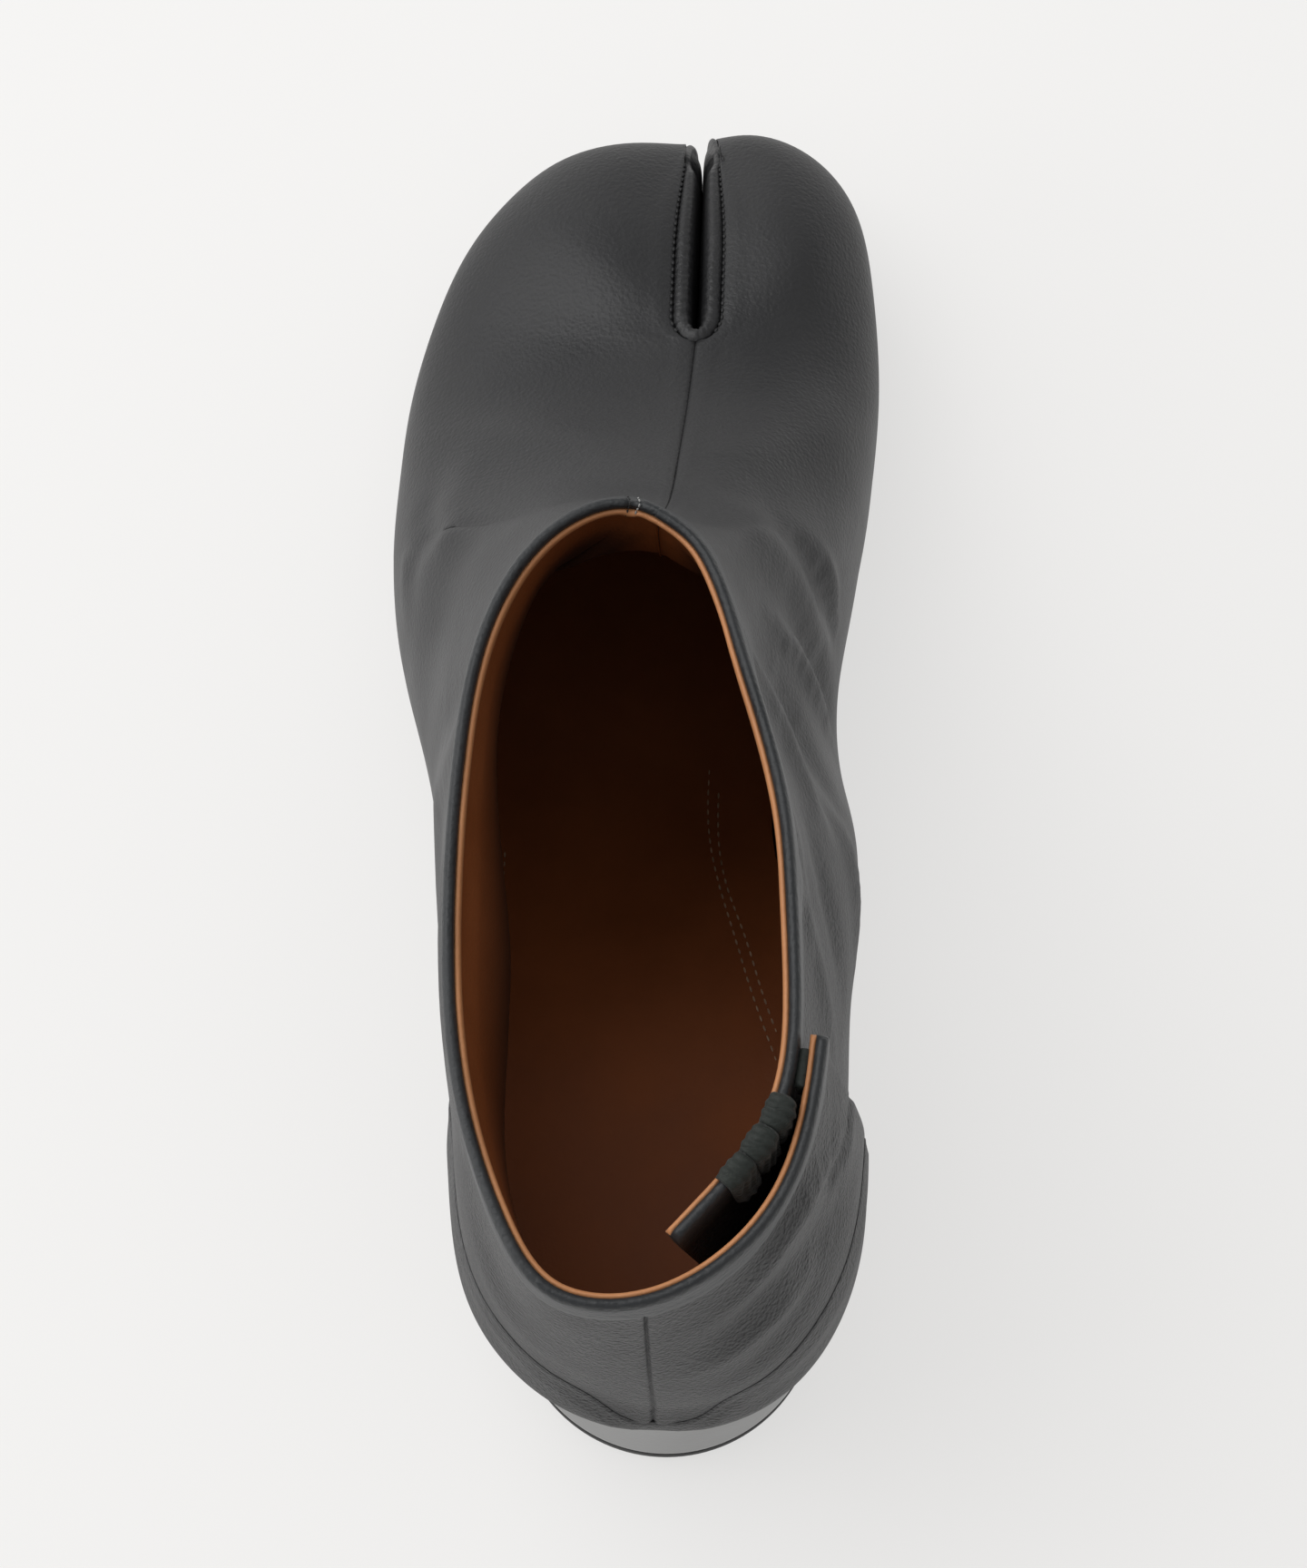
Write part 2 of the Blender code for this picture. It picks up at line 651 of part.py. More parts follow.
def build_binding():
    """Cap the collar's edge with a rounded strip from the underlap to the flap's tip."""
    path, outward, climb = collar_run(28, 60)
    middle = path - outward * WALL / 2.0
    half = WALL / 2.0 + BINDING_PROUD
    section = np.array(BINDING_SECTION)
    aside = outward[:, None] * half * section[None, :, :1]
    rise = CLEARANCE + (BINDING_HEIGHT - CLEARANCE) * section[None, :, 1:]
    return tube("collar_binding", middle[:, None] + aside + climb[:, None] * rise)


def build_loop_band():
    """Raise the puffed loops from the outer face of the underlap, below its edge."""
    stage = np.linspace(*LOOP_STAGES, 25)
    grid = strip_grid(INNER_WIDE, INNER_COLLAR, 1, stage, low=4, high=24)
    run = run_length(grid[:, -1])
    middle = run[-1] * LOOP_MIDDLE
    length = LOOP_COUNT * LOOP_PITCH
    place = np.linspace(middle - length / 2.0, middle + length / 2.0, 6 * LOOP_COUNT + 1)
    flat = grid.reshape(len(grid), -1)
    ribs = np.stack([np.interp(place, run, column) for column in flat.T], axis=1)
    ribs = ribs.reshape(len(place), -1, 3)
    high = ribs[:, -1, 2] - LOOP_DROP
    low = high - LOOP_DEPTH
    face = rib_part(ribs, low, high, 7)
    normal = grid_normals(face, -1)
    across = np.abs(np.sin(np.linspace(0.0, LOOP_COUNT * math.pi, len(place)))) ** LOOP_ROUND
    down = np.sin(np.linspace(0.12, 0.88, 7) * math.pi) ** LOOP_ROUND
    room = np.linspace(LOOP_PUFF, LOOP_PUFF_FRONT, len(place))
    puff = CLEARANCE + (room * across)[:, None] * down[None, :]
    inner = face + normal * CLEARANCE
    return slab("loop_band", inner, inner + normal * puff[:, :, None])


def feather_edge(wide, collar, side, stage, margin):
    """Feather edge of a strip in plan, moved outward by margin."""
    feather, widest, top, outward = strip_lines(wide, collar, side, stage)
    return (feather + outward * margin)[:, :2]


def sole_outline(margin, slot_wall, join):
    """Closed outline in plan: feather edge moved by margin, with the slot at the toes."""
    outer = feather_edge(OUTER_WIDE, OUTER_COLLAR, -1, OUTER_STAGES, margin)
    inner = feather_edge(INNER_WIDE, INNER_COLLAR, 1, INNER_STAGES, margin)
    inner = inner[inner[:, 1] > join[1]]
    flap = (outer[:, 0] > 0.0) & (outer[:, 1] > join[0]) & (outer[:, 1] < TOE_TIP / 2.0)
    outer = outer[~flap]
    angle = np.linspace(-math.pi / 2.0, math.pi / 2.0, 9)
    half = SPLIT_GAP / 2.0 + slot_wall
    centre = np.array([split_middle(SPLIT_END + SPLIT_WIDTH / 2.0), SPLIT_END + SPLIT_WIDTH / 2.0])
    bow = centre + half * np.column_stack([np.sin(angle), -np.cos(angle)])
    tips = np.array([outer[0, 1], inner[0, 1]]) - 0.001
    mouth = np.column_stack([split_middle(tips) + np.array([-half, half]), tips])
    return np.concatenate([outer[::-1], mouth[:1], bow, mouth[1:], inner])


def sole_plate(name, outline, under, thickness):
    """Raise an outline into a plate that follows the sole's profile."""
    build = bmesh.new()
    verts = [build.verts.new((x, y, 0.0)) for x, y in outline]
    face = build.faces.new(verts)
    if face.normal.z < 0.0:
        face.normal_flip()
    for y in np.linspace(HEEL_BACK, TOE_TIP, 44)[1:-1]:
        geometry = build.verts[:] + build.edges[:] + build.faces[:]
        bmesh.ops.bisect_plane(build, geom=geometry, dist=1e-6, plane_co=(0, y, 0), plane_no=(0, 1, 0))
    raised = bmesh.ops.extrude_face_region(build, geom=build.faces[:])
    lifted = {v for v in raised["geom"] if isinstance(v, bmesh.types.BMVert)}
    for vert in build.verts:
        base = float(under(vert.co.y))
        vert.co.z = base + (thickness if vert in lifted else 0.0)
    mesh = bpy.data.meshes.new(name)
    build.to_mesh(mesh)
    build.free()
    points = [tuple(v.co) for v in mesh.vertices]
    faces = [tuple(f.vertices) for f in mesh.polygons]
    bpy.data.meshes.remove(mesh)
    return make_object(name, points, faces)


def insole_under(y):
    """Height of the insole's underside."""
    return sole_top(y) + CLEARANCE


def build_outsole():
    """Leather outsole with its slot."""
    outline = sole_outline(SOLE_MARGIN, 0.0, OUTSOLE_JOIN)
    return sole_plate("outsole", outline, sole_under, OUTSOLE_THICKNESS)


def build_insole():
    """Insole on the outsole, inside the wall of the upper."""
    margin = WALL + 2.0 * CLEARANCE
    outline = sole_outline(-margin, GUSSET_WALL + 2.0 * CLEARANCE, INSOLE_JOIN)
    return sole_plate("insole", outline, insole_under, INSOLE_THICKNESS)


def circle(radius):
    """Points of a circle about the heel's axis, in plan."""
    angle = np.linspace(0.0, 2.0 * math.pi, 48, endpoint=False)
    return radius * np.column_stack([np.cos(angle), np.sin(angle)])


def build_heel_block():
    """Round block under the seat, narrowing to its top."""
    foot = TOP_PIECE + CLEARANCE
    rings = []
    for level in (0.0, 0.5, 1.0):
        plan = circle(HEEL_RADIUS - HEEL_TAPER * level)
        roof = sole_under(plan[:, 1]) - CLEARANCE
        rings.append(np.column_stack([plan, foot + level * (roof - foot)]))
    return tube("heel_block", np.array(rings))


def build_heel_top_piece():
    """Rubber layer under the block, with a small bevel at the floor."""
    levels = ((HEEL_RADIUS - HEEL_EDGE, 0.0), (HEEL_RADIUS, HEEL_EDGE), (HEEL_RADIUS, TOP_PIECE))
    rings = [np.insert(circle(radius), 2, height, axis=1) for radius, height in levels]
    return tube("heel_top_piece", np.array(rings))


def main():
    """Clear the scene and build every piece."""
    for obj in list(bpy.data.objects):
        bpy.data.objects.remove(obj, do_unlink=True)
    build_upper()
    build_gusset()
    build_counter_band()
    build_binding()
    build_loop_band()
    build_outsole()
    build_insole()
    build_heel_block()
    build_heel_top_piece()


main()
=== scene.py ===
# %% [markdown]
# # A split-toe ankle boot for the left foot
#
# This lesson dresses a plain CAD boot so that it looks like worn-in charcoal leather. The CAD
# solids stay as the frame: they give the sizes and the places. Every visible skin is worked out
# here again with numpy from the same named sizes, on a much finer grid, so that it can carry
# folds, seams and stitches. X points to the inner side of the foot, Y to the toes and Z up, and
# all lengths are in metres.

import math

import bmesh
import bpy
import numpy as np
from mathutils import Matrix, Vector


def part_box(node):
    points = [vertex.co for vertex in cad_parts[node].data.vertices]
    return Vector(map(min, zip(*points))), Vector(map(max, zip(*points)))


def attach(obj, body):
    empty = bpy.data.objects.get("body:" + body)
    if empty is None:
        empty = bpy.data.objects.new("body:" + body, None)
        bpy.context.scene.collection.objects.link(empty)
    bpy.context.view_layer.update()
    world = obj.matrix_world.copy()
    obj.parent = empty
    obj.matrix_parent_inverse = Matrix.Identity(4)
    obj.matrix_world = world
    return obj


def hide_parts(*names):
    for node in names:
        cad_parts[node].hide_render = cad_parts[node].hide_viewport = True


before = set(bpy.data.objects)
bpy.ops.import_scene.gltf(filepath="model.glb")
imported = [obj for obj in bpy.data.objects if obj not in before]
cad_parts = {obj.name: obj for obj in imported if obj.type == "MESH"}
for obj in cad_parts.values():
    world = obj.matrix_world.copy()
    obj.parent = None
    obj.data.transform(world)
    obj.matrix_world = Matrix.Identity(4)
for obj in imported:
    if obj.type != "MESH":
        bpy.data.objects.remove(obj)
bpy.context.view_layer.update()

# %% [markdown]
# ## The camera
#
# The picture was taken from high above the heel, looking down and forward over the boot with
# the toes at the top. One pinhole camera explains every edge: it looks 72 degrees downward from
# 0.65 m away, towards a point in the middle of the foot. A long lens keeps the shaft from
# looking much larger than the sole.

# %% Camera
VIEW_DOWN = math.radians(72.0)
VIEW_DISTANCE = 0.650
VIEW_POINT = Vector((-0.00235, 0.1014, 0.0))
LENS, SENSOR = 76.8, 36.0
NEAREST = 0.01


def add_object(name, data):
    """New object with its data, linked to the scene."""
    thing = bpy.data.objects.new(name, data)
    bpy.context.collection.objects.link(thing)
    return thing


def add_camera():
    """Camera on the line through VIEW_POINT that falls VIEW_DOWN towards the toes."""
    data = bpy.data.cameras.new("camera")
    data.lens = LENS
    data.sensor_width = SENSOR
    data.sensor_fit = "AUTO"
    data.clip_start = NEAREST
    camera = add_object("camera", data)
    back = Vector((0.0, -math.cos(VIEW_DOWN), math.sin(VIEW_DOWN)))
    up = Vector((0.0, math.sin(VIEW_DOWN), math.cos(VIEW_DOWN)))
    side = Vector((1.0, 0.0, 0.0))
    turn = Matrix((side, up, back)).transposed().to_4x4()
    camera.matrix_world = Matrix.Translation(VIEW_POINT + back * VIEW_DISTANCE) @ turn
    bpy.context.scene.camera = camera
    return camera


camera = add_camera()
print("camera at", [round(v, 3) for v in camera.location])

# %% [markdown]
# ## The boot's own sizes
#
# These are the sizes of the CAD part. They are repeated here, because this script reads only
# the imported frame. The widest line of each strip and the collar's edge are short tables: each
# row is one place round the boot, given as a share of a named size.

# %% Sizes
LENGTH = 0.2553
BALL_WIDTH = 0.0935
HEEL_WIDTH = 0.0700
HEEL_SETBACK = 0.0016
TOE_HEIGHT = 0.050
TUCK = 0.0050
HEEL_END = 0.193
BALL_START = 0.597
COLLAR_HEIGHT = 0.1293
COLLAR_DIP = 0.0068
COLLAR_LENGTH = 0.1306
COLLAR_WIDTH = 0.0572
COLLAR_BACK = 0.0050
COLLAR_LEAN = 0.0056
SPLIT_LENGTH = 0.0480
SPLIT_OFFSET = 0.0055
SPLIT_LEAN = 0.036
SPLIT_WIDTH = 0.0090
SPLIT_GAP = 0.0016
SPLIT_SETBACK = 0.0090
LIP_HEIGHT = 0.0010
WALL = 0.0022
GUSSET_WALL = 0.0012
COUNTER_HEIGHT = 0.0350
CLEARANCE = 0.0003
OUTSOLE_THICKNESS = 0.0040
INSOLE_THICKNESS = 0.0030
HEEL_HEIGHT = 0.0260
HEEL_RADIUS = 0.0278
HEEL_TAPER = 0.0018
SEAT_SLOPE = 0.085
ARCH_LENGTH = 0.0836
TREAD_LENGTH = 0.0520
TOE_SPRING = 0.0080
BELLY_RISE = (0.52, 0.34)
BELLY_SHIFT = 0.40
TOP_REACH = 0.50
TOP_SPAN = 0.33
FOOT_HANDLES = (0.42, 0.50)
FOOT_OUT = 0.75
TURN_STAGES = (0.45, 2.35)
LIP_STAGE = 2.45
LIP_ROUND = 0.12
LIP_CLOSING = 0.22
SPLIT_DIP = 0.32
BODY_LEAN = (0.45, 0.45, 1.0)
SEAM_STEP, COLLAR_STEP, WIDE_STEP = 0.02, 0.01, 0.0001
TOE_STEP = 0.1
NEAR_FRONT = 0.28
DIP_POWER = 1.5
DIP_STAGES, LEVEL_STAGES = (1.9, 2.3), (1.0, 1.7)
WIDE_READINGS = 600
HEEL_BACK = HEEL_SETBACK - HEEL_RADIUS
TOE_TIP = HEEL_BACK + LENGTH
COLLAR_REAR = HEEL_BACK + COLLAR_BACK
SPLIT_END = TOE_TIP - SPLIT_SETBACK - SPLIT_LENGTH
print("boot", LENGTH, "m long, collar", COLLAR_HEIGHT, "m high")

# %% [markdown]
# ## Tables of the form
#
# A stage counts round the boot: 3 to 2 is the split between the toes, 2 to 1 the seam down the
# instep and 1 to 0 the collar, where the outer strip ends in the flap and the inner one in the
# underlap.

# %% Tables


def table(columns, *rows):
    """Return a dictionary with one array for each named column."""
    data = np.array(rows, dtype=float)
    return {name: data[:, k] for k, name in enumerate(columns.split())}


OUTER_WIDE = table(
    "stage along across lift tuck",
    (3.000, 0.995, 0.047, 0.400, 0.80), (2.750, 0.991, -0.088, 0.420, 0.90),
    (2.500, 0.975, -0.218, 0.430, 1.00), (2.250, 0.936, -0.340, 0.440, 1.00),
    (2.000, 0.852, -0.468, 0.440, 1.00), (1.500, 0.741, -0.532, 0.310, 1.00),
    (1.000, 0.642, -0.552, 0.195, 1.00), (0.880, 0.550, -0.533, 0.210, 1.10),
    (0.750, 0.454, -0.495, 0.330, 1.60), (0.600, 0.298, -0.530, 0.360, 1.30),
    (0.470, 0.181, -0.525, 0.240, 0.60), (0.370, 0.075, -0.455, 0.210, 0.45),
    (0.300, 0.024, -0.291, 0.240, 0.47), (0.245, 0.001, -0.048, 0.265, 0.48),
    (0.180, 0.013, 0.205, 0.240, 0.47), (0.115, 0.054, 0.371, 0.210, 0.45),
    (0.050, 0.123, 0.468, 0.205, 0.62), (0.000, 0.179, 0.484, 0.220, 0.80),
)
INNER_WIDE = table(
    "stage along across lift tuck",
    (3.000, 1.000, 0.106, 0.400, 0.80), (2.750, 0.998, 0.185, 0.420, 0.90),
    (2.500, 0.981, 0.296, 0.430, 1.00), (2.250, 0.942, 0.384, 0.440, 1.00),
    (2.000, 0.867, 0.432, 0.440, 1.00), (1.500, 0.770, 0.441, 0.310, 1.00),
    (1.000, 0.662, 0.406, 0.200, 1.00), (0.850, 0.571, 0.362, 0.220, 1.30),
    (0.680, 0.485, 0.350, 0.270, 1.90), (0.520, 0.375, 0.410, 0.400, 2.20),
    (0.360, 0.250, 0.435, 0.360, 1.60), (0.240, 0.163, 0.436, 0.260, 1.30),
    (0.100, 0.100, 0.392, 0.240, 1.20), (0.000, 0.062, 0.300, 0.240, 1.20),
)
OUTER_COLLAR = table(
    "along across",
    (0.985, 0.082), (0.996, 0.033), (1.000, -0.051), (0.979, -0.177), (0.840, -0.402),
    (0.668, -0.477), (0.469, -0.497), (0.261, -0.463), (0.102, -0.353), (0.017, -0.217),
    (0.000, -0.007), (0.041, 0.220), (0.119, 0.388), (0.228, 0.479), (0.315, 0.510),
)
INNER_COLLAR = table(
    "along across",
    (0.985, 0.082), (0.969, 0.131), (0.945, 0.184), (0.911, 0.227), (0.815, 0.295),
    (0.696, 0.369), (0.583, 0.420), (0.472, 0.435), (0.362, 0.439), (0.282, 0.425),
    (0.203, 0.364), (0.148, 0.271), (0.075, 0.117),
)
COUNTER = table(
    "stage height",
    (0.60, 0.02), (0.52, 0.30), (0.45, 0.69), (0.385, 0.89), (0.34, 0.89), (0.30, 0.77),
    (0.27, 0.70), (0.24, 0.67), (0.21, 0.71), (0.18, 0.80), (0.14, 0.94), (0.10, 1.00),
    (0.06, 0.94), (0.00, 0.80),
)
RIDGE = table(
    "stage collar toe",
    (1.00, 1.000, 0.00), (1.25, 0.560, 0.46), (1.50, 0.300, 0.74), (1.75, 0.115, 0.89),
    (2.00, 0.000, 1.00), (2.35, 0.000, 0.90), (2.70, 0.000, 0.80), (3.00, 0.000, 0.65),
)
print("rows:", len(OUTER_WIDE["stage"]), len(INNER_WIDE["stage"]))

# %% [markdown]
# ## Arithmetic of the form
#
# A rib is a curve that climbs from the sole's edge, past the widest line, to the top line. The
# helpers below read the tables with smooth splines and give a rib's feather, widest and top
# point, and the direction in which it arrives at the top.

# %% Splines and easing


def smooth(value, low, high):
    """Rise from 0 at low to 1 at high, level at both ends."""
    share = np.clip((np.asarray(value, dtype=float) - low) / (high - low), 0.0, 1.0)
    return share * share * (3.0 - 2.0 * share)


def bell(value, span):
    """Bell curve exp(-(value / span)^2)."""
    return np.exp(-((value / span) ** 2))


def unit(vectors):
    """Scale each vector of an array to length one."""
    return vectors / np.linalg.norm(vectors, axis=-1, keepdims=True)


def natural_spline(knots, values, at):
    """Read a natural cubic spline through the rows of values."""
    count = len(knots)
    step = np.diff(knots)
    slope = np.diff(values, axis=0) / step[:, None]
    system = np.eye(count)
    right = np.zeros_like(values)
    for k in range(1, count - 1):
        system[k, k - 1 : k + 2] = step[k - 1], 2.0 * (step[k - 1] + step[k]), step[k]
        right[k] = 6.0 * (slope[k] - slope[k - 1])
    bend = np.linalg.solve(system, right)
    cell = np.clip(np.searchsorted(knots, at) - 1, 0, count - 2)
    before = (knots[cell + 1] - at)[:, None]
    after = (at - knots[cell])[:, None]
    width = step[cell][:, None]
    return (
        (bend[cell] * before**3 + bend[cell + 1] * after**3) / (6.0 * width)
        + (values[cell] / width - bend[cell] * width / 6.0) * before
        + (values[cell + 1] / width - bend[cell + 1] * width / 6.0) * after
    )


def run_length(points):
    """Return the distance along a row of points, from its first."""
    return np.concatenate([[0.0], np.cumsum(np.linalg.norm(np.diff(points, axis=0), axis=1))])


def resample(values, knots, at):
    """Rows of an array read at new places by straight lines between the knots."""
    flat = values.reshape(len(values), -1)
    read = np.stack([np.interp(at, knots, column) for column in flat.T], axis=1)
    return read.reshape((len(at),) + values.shape[1:])


def read_ribs(ribs, level, at):
    """Points where a measure that rises up each rib reaches the values of at, ribs by values,
    by straight lines; and the row just above each point."""
    row = np.clip((level[:, :, None] < at[:, None, :]).sum(axis=1), 1, ribs.shape[1] - 1)
    column = np.arange(len(ribs))[:, None]
    below, above = level[column, row - 1], level[column, row]
    part = np.clip((at - below) / np.maximum(above - below, 1e-9), 0.0, 1.0)[:, :, None]
    return ribs[column, row - 1] * (1.0 - part) + ribs[column, row] * part, row


def bezier(a, b, c, d, t):
    """Cubic curve between rows a and d, at shares t that may differ from row to row."""
    a, b, c, d = (p[:, None, :] for p in (a, b, c, d))
    t = np.atleast_2d(t)[:, :, None]
    return a * (1 - t) ** 3 + 3 * b * t * (1 - t) ** 2 + 3 * c * t**2 * (1 - t) + d * t**3


print("bell at half its span:", round(float(bell(0.5, 1.0)), 3))

# %% Profile of the sole


def sole_under(y):
    """Height of the outsole's underside: seat, arch, tread and toe spring."""
    y = np.asarray(y, dtype=float)
    seat = HEEL_HEIGHT - SEAT_SLOPE * np.minimum(y, HEEL_RADIUS)
    share = np.clip((y - HEEL_RADIUS) / ARCH_LENGTH, 0.0, 1.0)
    fall = (1.0 - share) ** 2
    arch = seat * fall * (1.0 + 2.0 * share) - SEAT_SLOPE * ARCH_LENGTH * share * fall
    tread_end = HEEL_RADIUS + ARCH_LENGTH + TREAD_LENGTH
    spring = TOE_SPRING * np.clip((y - tread_end) / (TOE_TIP - tread_end), 0.0, None) ** 2
    return arch + spring


def sole_top(y):
    """Height of the outsole's upper face."""
    return sole_under(y) + OUTSOLE_THICKNESS


def board_top(y):
    """Height of the insole's upper face."""
    return sole_top(y) + CLEARANCE + INSOLE_THICKNESS


def local_width(along):
    """Blend from the heel's width to the ball's along the foot."""
    return HEEL_WIDTH + (BALL_WIDTH - HEEL_WIDTH) * smooth(along, HEEL_END, BALL_START)


def split_middle(y):
    """Middle line of the split in plan, leaning to the inner side at the toes."""
    return SPLIT_OFFSET + SPLIT_LEAN * (y - SPLIT_END)


def split_half(share, half, turn):
    """Half width of a slot with a round end, share 0 at that end."""
    return half * np.sqrt(np.clip(1.0 - (1.0 - np.clip(share / turn, 0.0, 1.0)) ** 2, 0.0, 1.0))


print("sole's underside at the toe:", round(float(sole_under(TOE_TIP)) * 1000, 1), "mm up")

# %% Top line and collar


def collar_level(y):
    """Height of the collar's edge at a place along the foot; it dips towards the front."""
    forward = np.clip((y - COLLAR_REAR) / COLLAR_LENGTH, 0.0, 1.0)
    return COLLAR_HEIGHT - COLLAR_DIP * forward**DIP_POWER


def collar_point(collar, share):
    """Read the collar edge at shares of its run, 0 at the front seam."""
    y = COLLAR_REAR + collar["along"] * COLLAR_LENGTH
    x = -COLLAR_LEAN + collar["across"] * COLLAR_WIDTH
    rows = np.stack([x, y], axis=1)
    knots = run_length(rows)
    plan = natural_spline(knots, rows, np.asarray(share) * knots[-1])
    return np.column_stack([plan, collar_level(plan[:, 1])])


def lip_half(stage):
    """Half width of the opening in the upper at the split, 0 behind it."""
    split = np.clip(stage - 2.0, 0.0, 1.0)
    closing = 1.0 - LIP_CLOSING * smooth(split, LIP_STAGE - 2.0, 1.0)
    return split_half(split, SPLIT_WIDTH / 2.0, LIP_ROUND) * closing


def ridge_point(stage):
    """Read the top line in front of the collar: the front seam, then the split's middle."""
    front = collar_point(OUTER_COLLAR, np.array([0.0]))[0]
    seam = np.clip(stage - 1.0, 0.0, 1.0)
    split = np.clip(stage - 2.0, 0.0, 1.0)
    y = front[1] + seam * (SPLIT_END - front[1]) + split * SPLIT_LENGTH
    x = np.where(stage > 2.0, split_middle(y), front[0] + seam * (SPLIT_OFFSET - front[0]))
    shares = np.stack([RIDGE["collar"], RIDGE["toe"]], axis=1)
    mix = natural_spline(RIDGE["stage"], shares, np.asarray(stage, dtype=float))
    return np.column_stack([x, y, mix[:, 0] * front[2] + mix[:, 1] * TOE_HEIGHT])


print("top of the front seam:", ridge_point(np.array([1.0]))[0].round(4))

# %% Feather, widest and top points of the ribs


def strip_lines(wide, collar, side, stage):
    """Work out the feather, widest and top points of the ribs at the given stages."""
    width = local_width(wide["along"])
    plan = np.stack([wide["across"] * width, HEEL_BACK + wide["along"] * LENGTH], axis=1)
    knots = run_length(plan)
    columns = np.stack([plan[:, 0], plan[:, 1], wide["lift"], wide["tuck"], wide["stage"]], axis=1)
    fine = np.linspace(0.0, knots[-1], WIDE_READINGS)
    reading = natural_spline(knots, columns, fine)
    place = np.interp(-stage, -reading[:, 4], fine)
    row, ahead, behind = (
        natural_spline(knots, columns, np.clip(place + step, 0.0, knots[-1]))
        for step in (0.0, WIDE_STEP, -WIDE_STEP)
    )
    run = unit(ahead[:, :2] - behind[:, :2])
    outward = side * np.column_stack([-run[:, 1], run[:, 0]])
    top = np.where(
        (stage >= 1.0)[:, None],
        ridge_point(stage),
        collar_point(collar, np.clip(1.0 - stage, 0.0, 1.0)),
    )
    top[:, 0] += side * lip_half(stage) * smooth(stage, 2.0, LIP_STAGE)
    floor = sole_top(row[:, 1]) + CLEARANCE
    widest = np.column_stack([row[:, :2], floor + row[:, 2] * (top[:, 2] - floor)])
    feather = row[:, :2] - outward * (row[:, 3] * TUCK)[:, None]
    feather = np.column_stack([feather, sole_top(feather[:, 1]) + CLEARANCE])
    return feather, widest, top, np.column_stack([outward, np.zeros(len(stage))])


def wall_turn(stage):
    """Share of a rib's turn at its top: 0 across the split, 1 straight up to the collar."""
    return 1.0 - smooth(stage, *TURN_STAGES)[:, None]


def top_directions(widest, top, collar, side, stage):
    """Return the wall's own upward direction and the rib's direction at the top line."""
    lean = unit((top - widest) * np.array(BODY_LEAN))
    seam = np.clip(stage, 1.0, 2.0 - SEAM_STEP)
    front = unit(ridge_point(seam) - ridge_point(seam + SEAM_STEP))
    near = smooth(1.0 - stage, 0.0, NEAR_FRONT)[:, None]
    climb = unit(front * (1.0 - near) + lean * near)
    share = np.clip(1.0 - stage, COLLAR_STEP, 1.0 - COLLAR_STEP)
    ahead = collar_point(collar, share - COLLAR_STEP)
    edge = unit(ahead - collar_point(collar, share + COLLAR_STEP))
    dip = SPLIT_DIP * smooth(stage, *DIP_STAGES)[:, None]
    level = unit(np.hstack([-side * np.ones_like(dip), np.zeros_like(dip), -dip]))
    fade = smooth(stage, *LEVEL_STAGES)[:, None]
    across = unit(edge * (1.0 - fade) + level * fade)
    tip = smooth(stage, LIP_STAGE, 3.0)[:, None] * math.pi / 2.0
    last = ridge_point(np.array([3.0 - TOE_STEP, 3.0]))
    back = unit((last[0] - last[1]) * np.array([0.0, 1.0, 1.0]))
    toward = across * np.cos(tip) + back * np.sin(tip)
    turn = wall_turn(stage) * math.pi / 2.0
    return climb, unit(toward * np.cos(turn) + climb * np.sin(turn))


beside_seam = strip_lines(OUTER_WIDE, OUTER_COLLAR, -1, np.array([1.0]))[1][0]
print("outer strip's widest point beside the front seam:", beside_seam.round(4))

# %% [markdown]
# ## Ribs as one grid
#
# A strip is a grid of ribs by heights. A rib is two cubic curves: a short one from the feather
# to the widest line and a long one on to the top line. Close to the end of the split the two
# strips are cut out of one dome, at the half width of the opening.

# %% Strip grid
LOW_ROWS, HIGH_ROWS = 18, 90
TOP_CROWDING = 1.35
CUT_STEPS = 80
LIFT_LEAN = (0.35, 0.35, 1.0)


def cut_share(rib, side, stage):
    """Share of each rib where it meets the opening: the first place whose distance from the
    split's middle falls below the opening's half width."""
    share = np.linspace(0.0, 1.0, CUT_STEPS + 1)
    fine = bezier(*rib, share)
    apart = side * (fine[:, :, 0] - split_middle(fine[:, :, 1]))
    half = lip_half(stage)[:, None]
    under = np.argmax(apart < half, axis=1)
    row = np.arange(len(stage))
    before, after = apart[row, under - 1], apart[row, under]
    part = np.clip((before - half[:, 0]) / (before - after), 0.0, 1.0)
    met = (stage > 2.0) & (stage < LIP_STAGE) & (under > 0)
    return np.where(met, (under - 1 + part) / CUT_STEPS, 1.0)


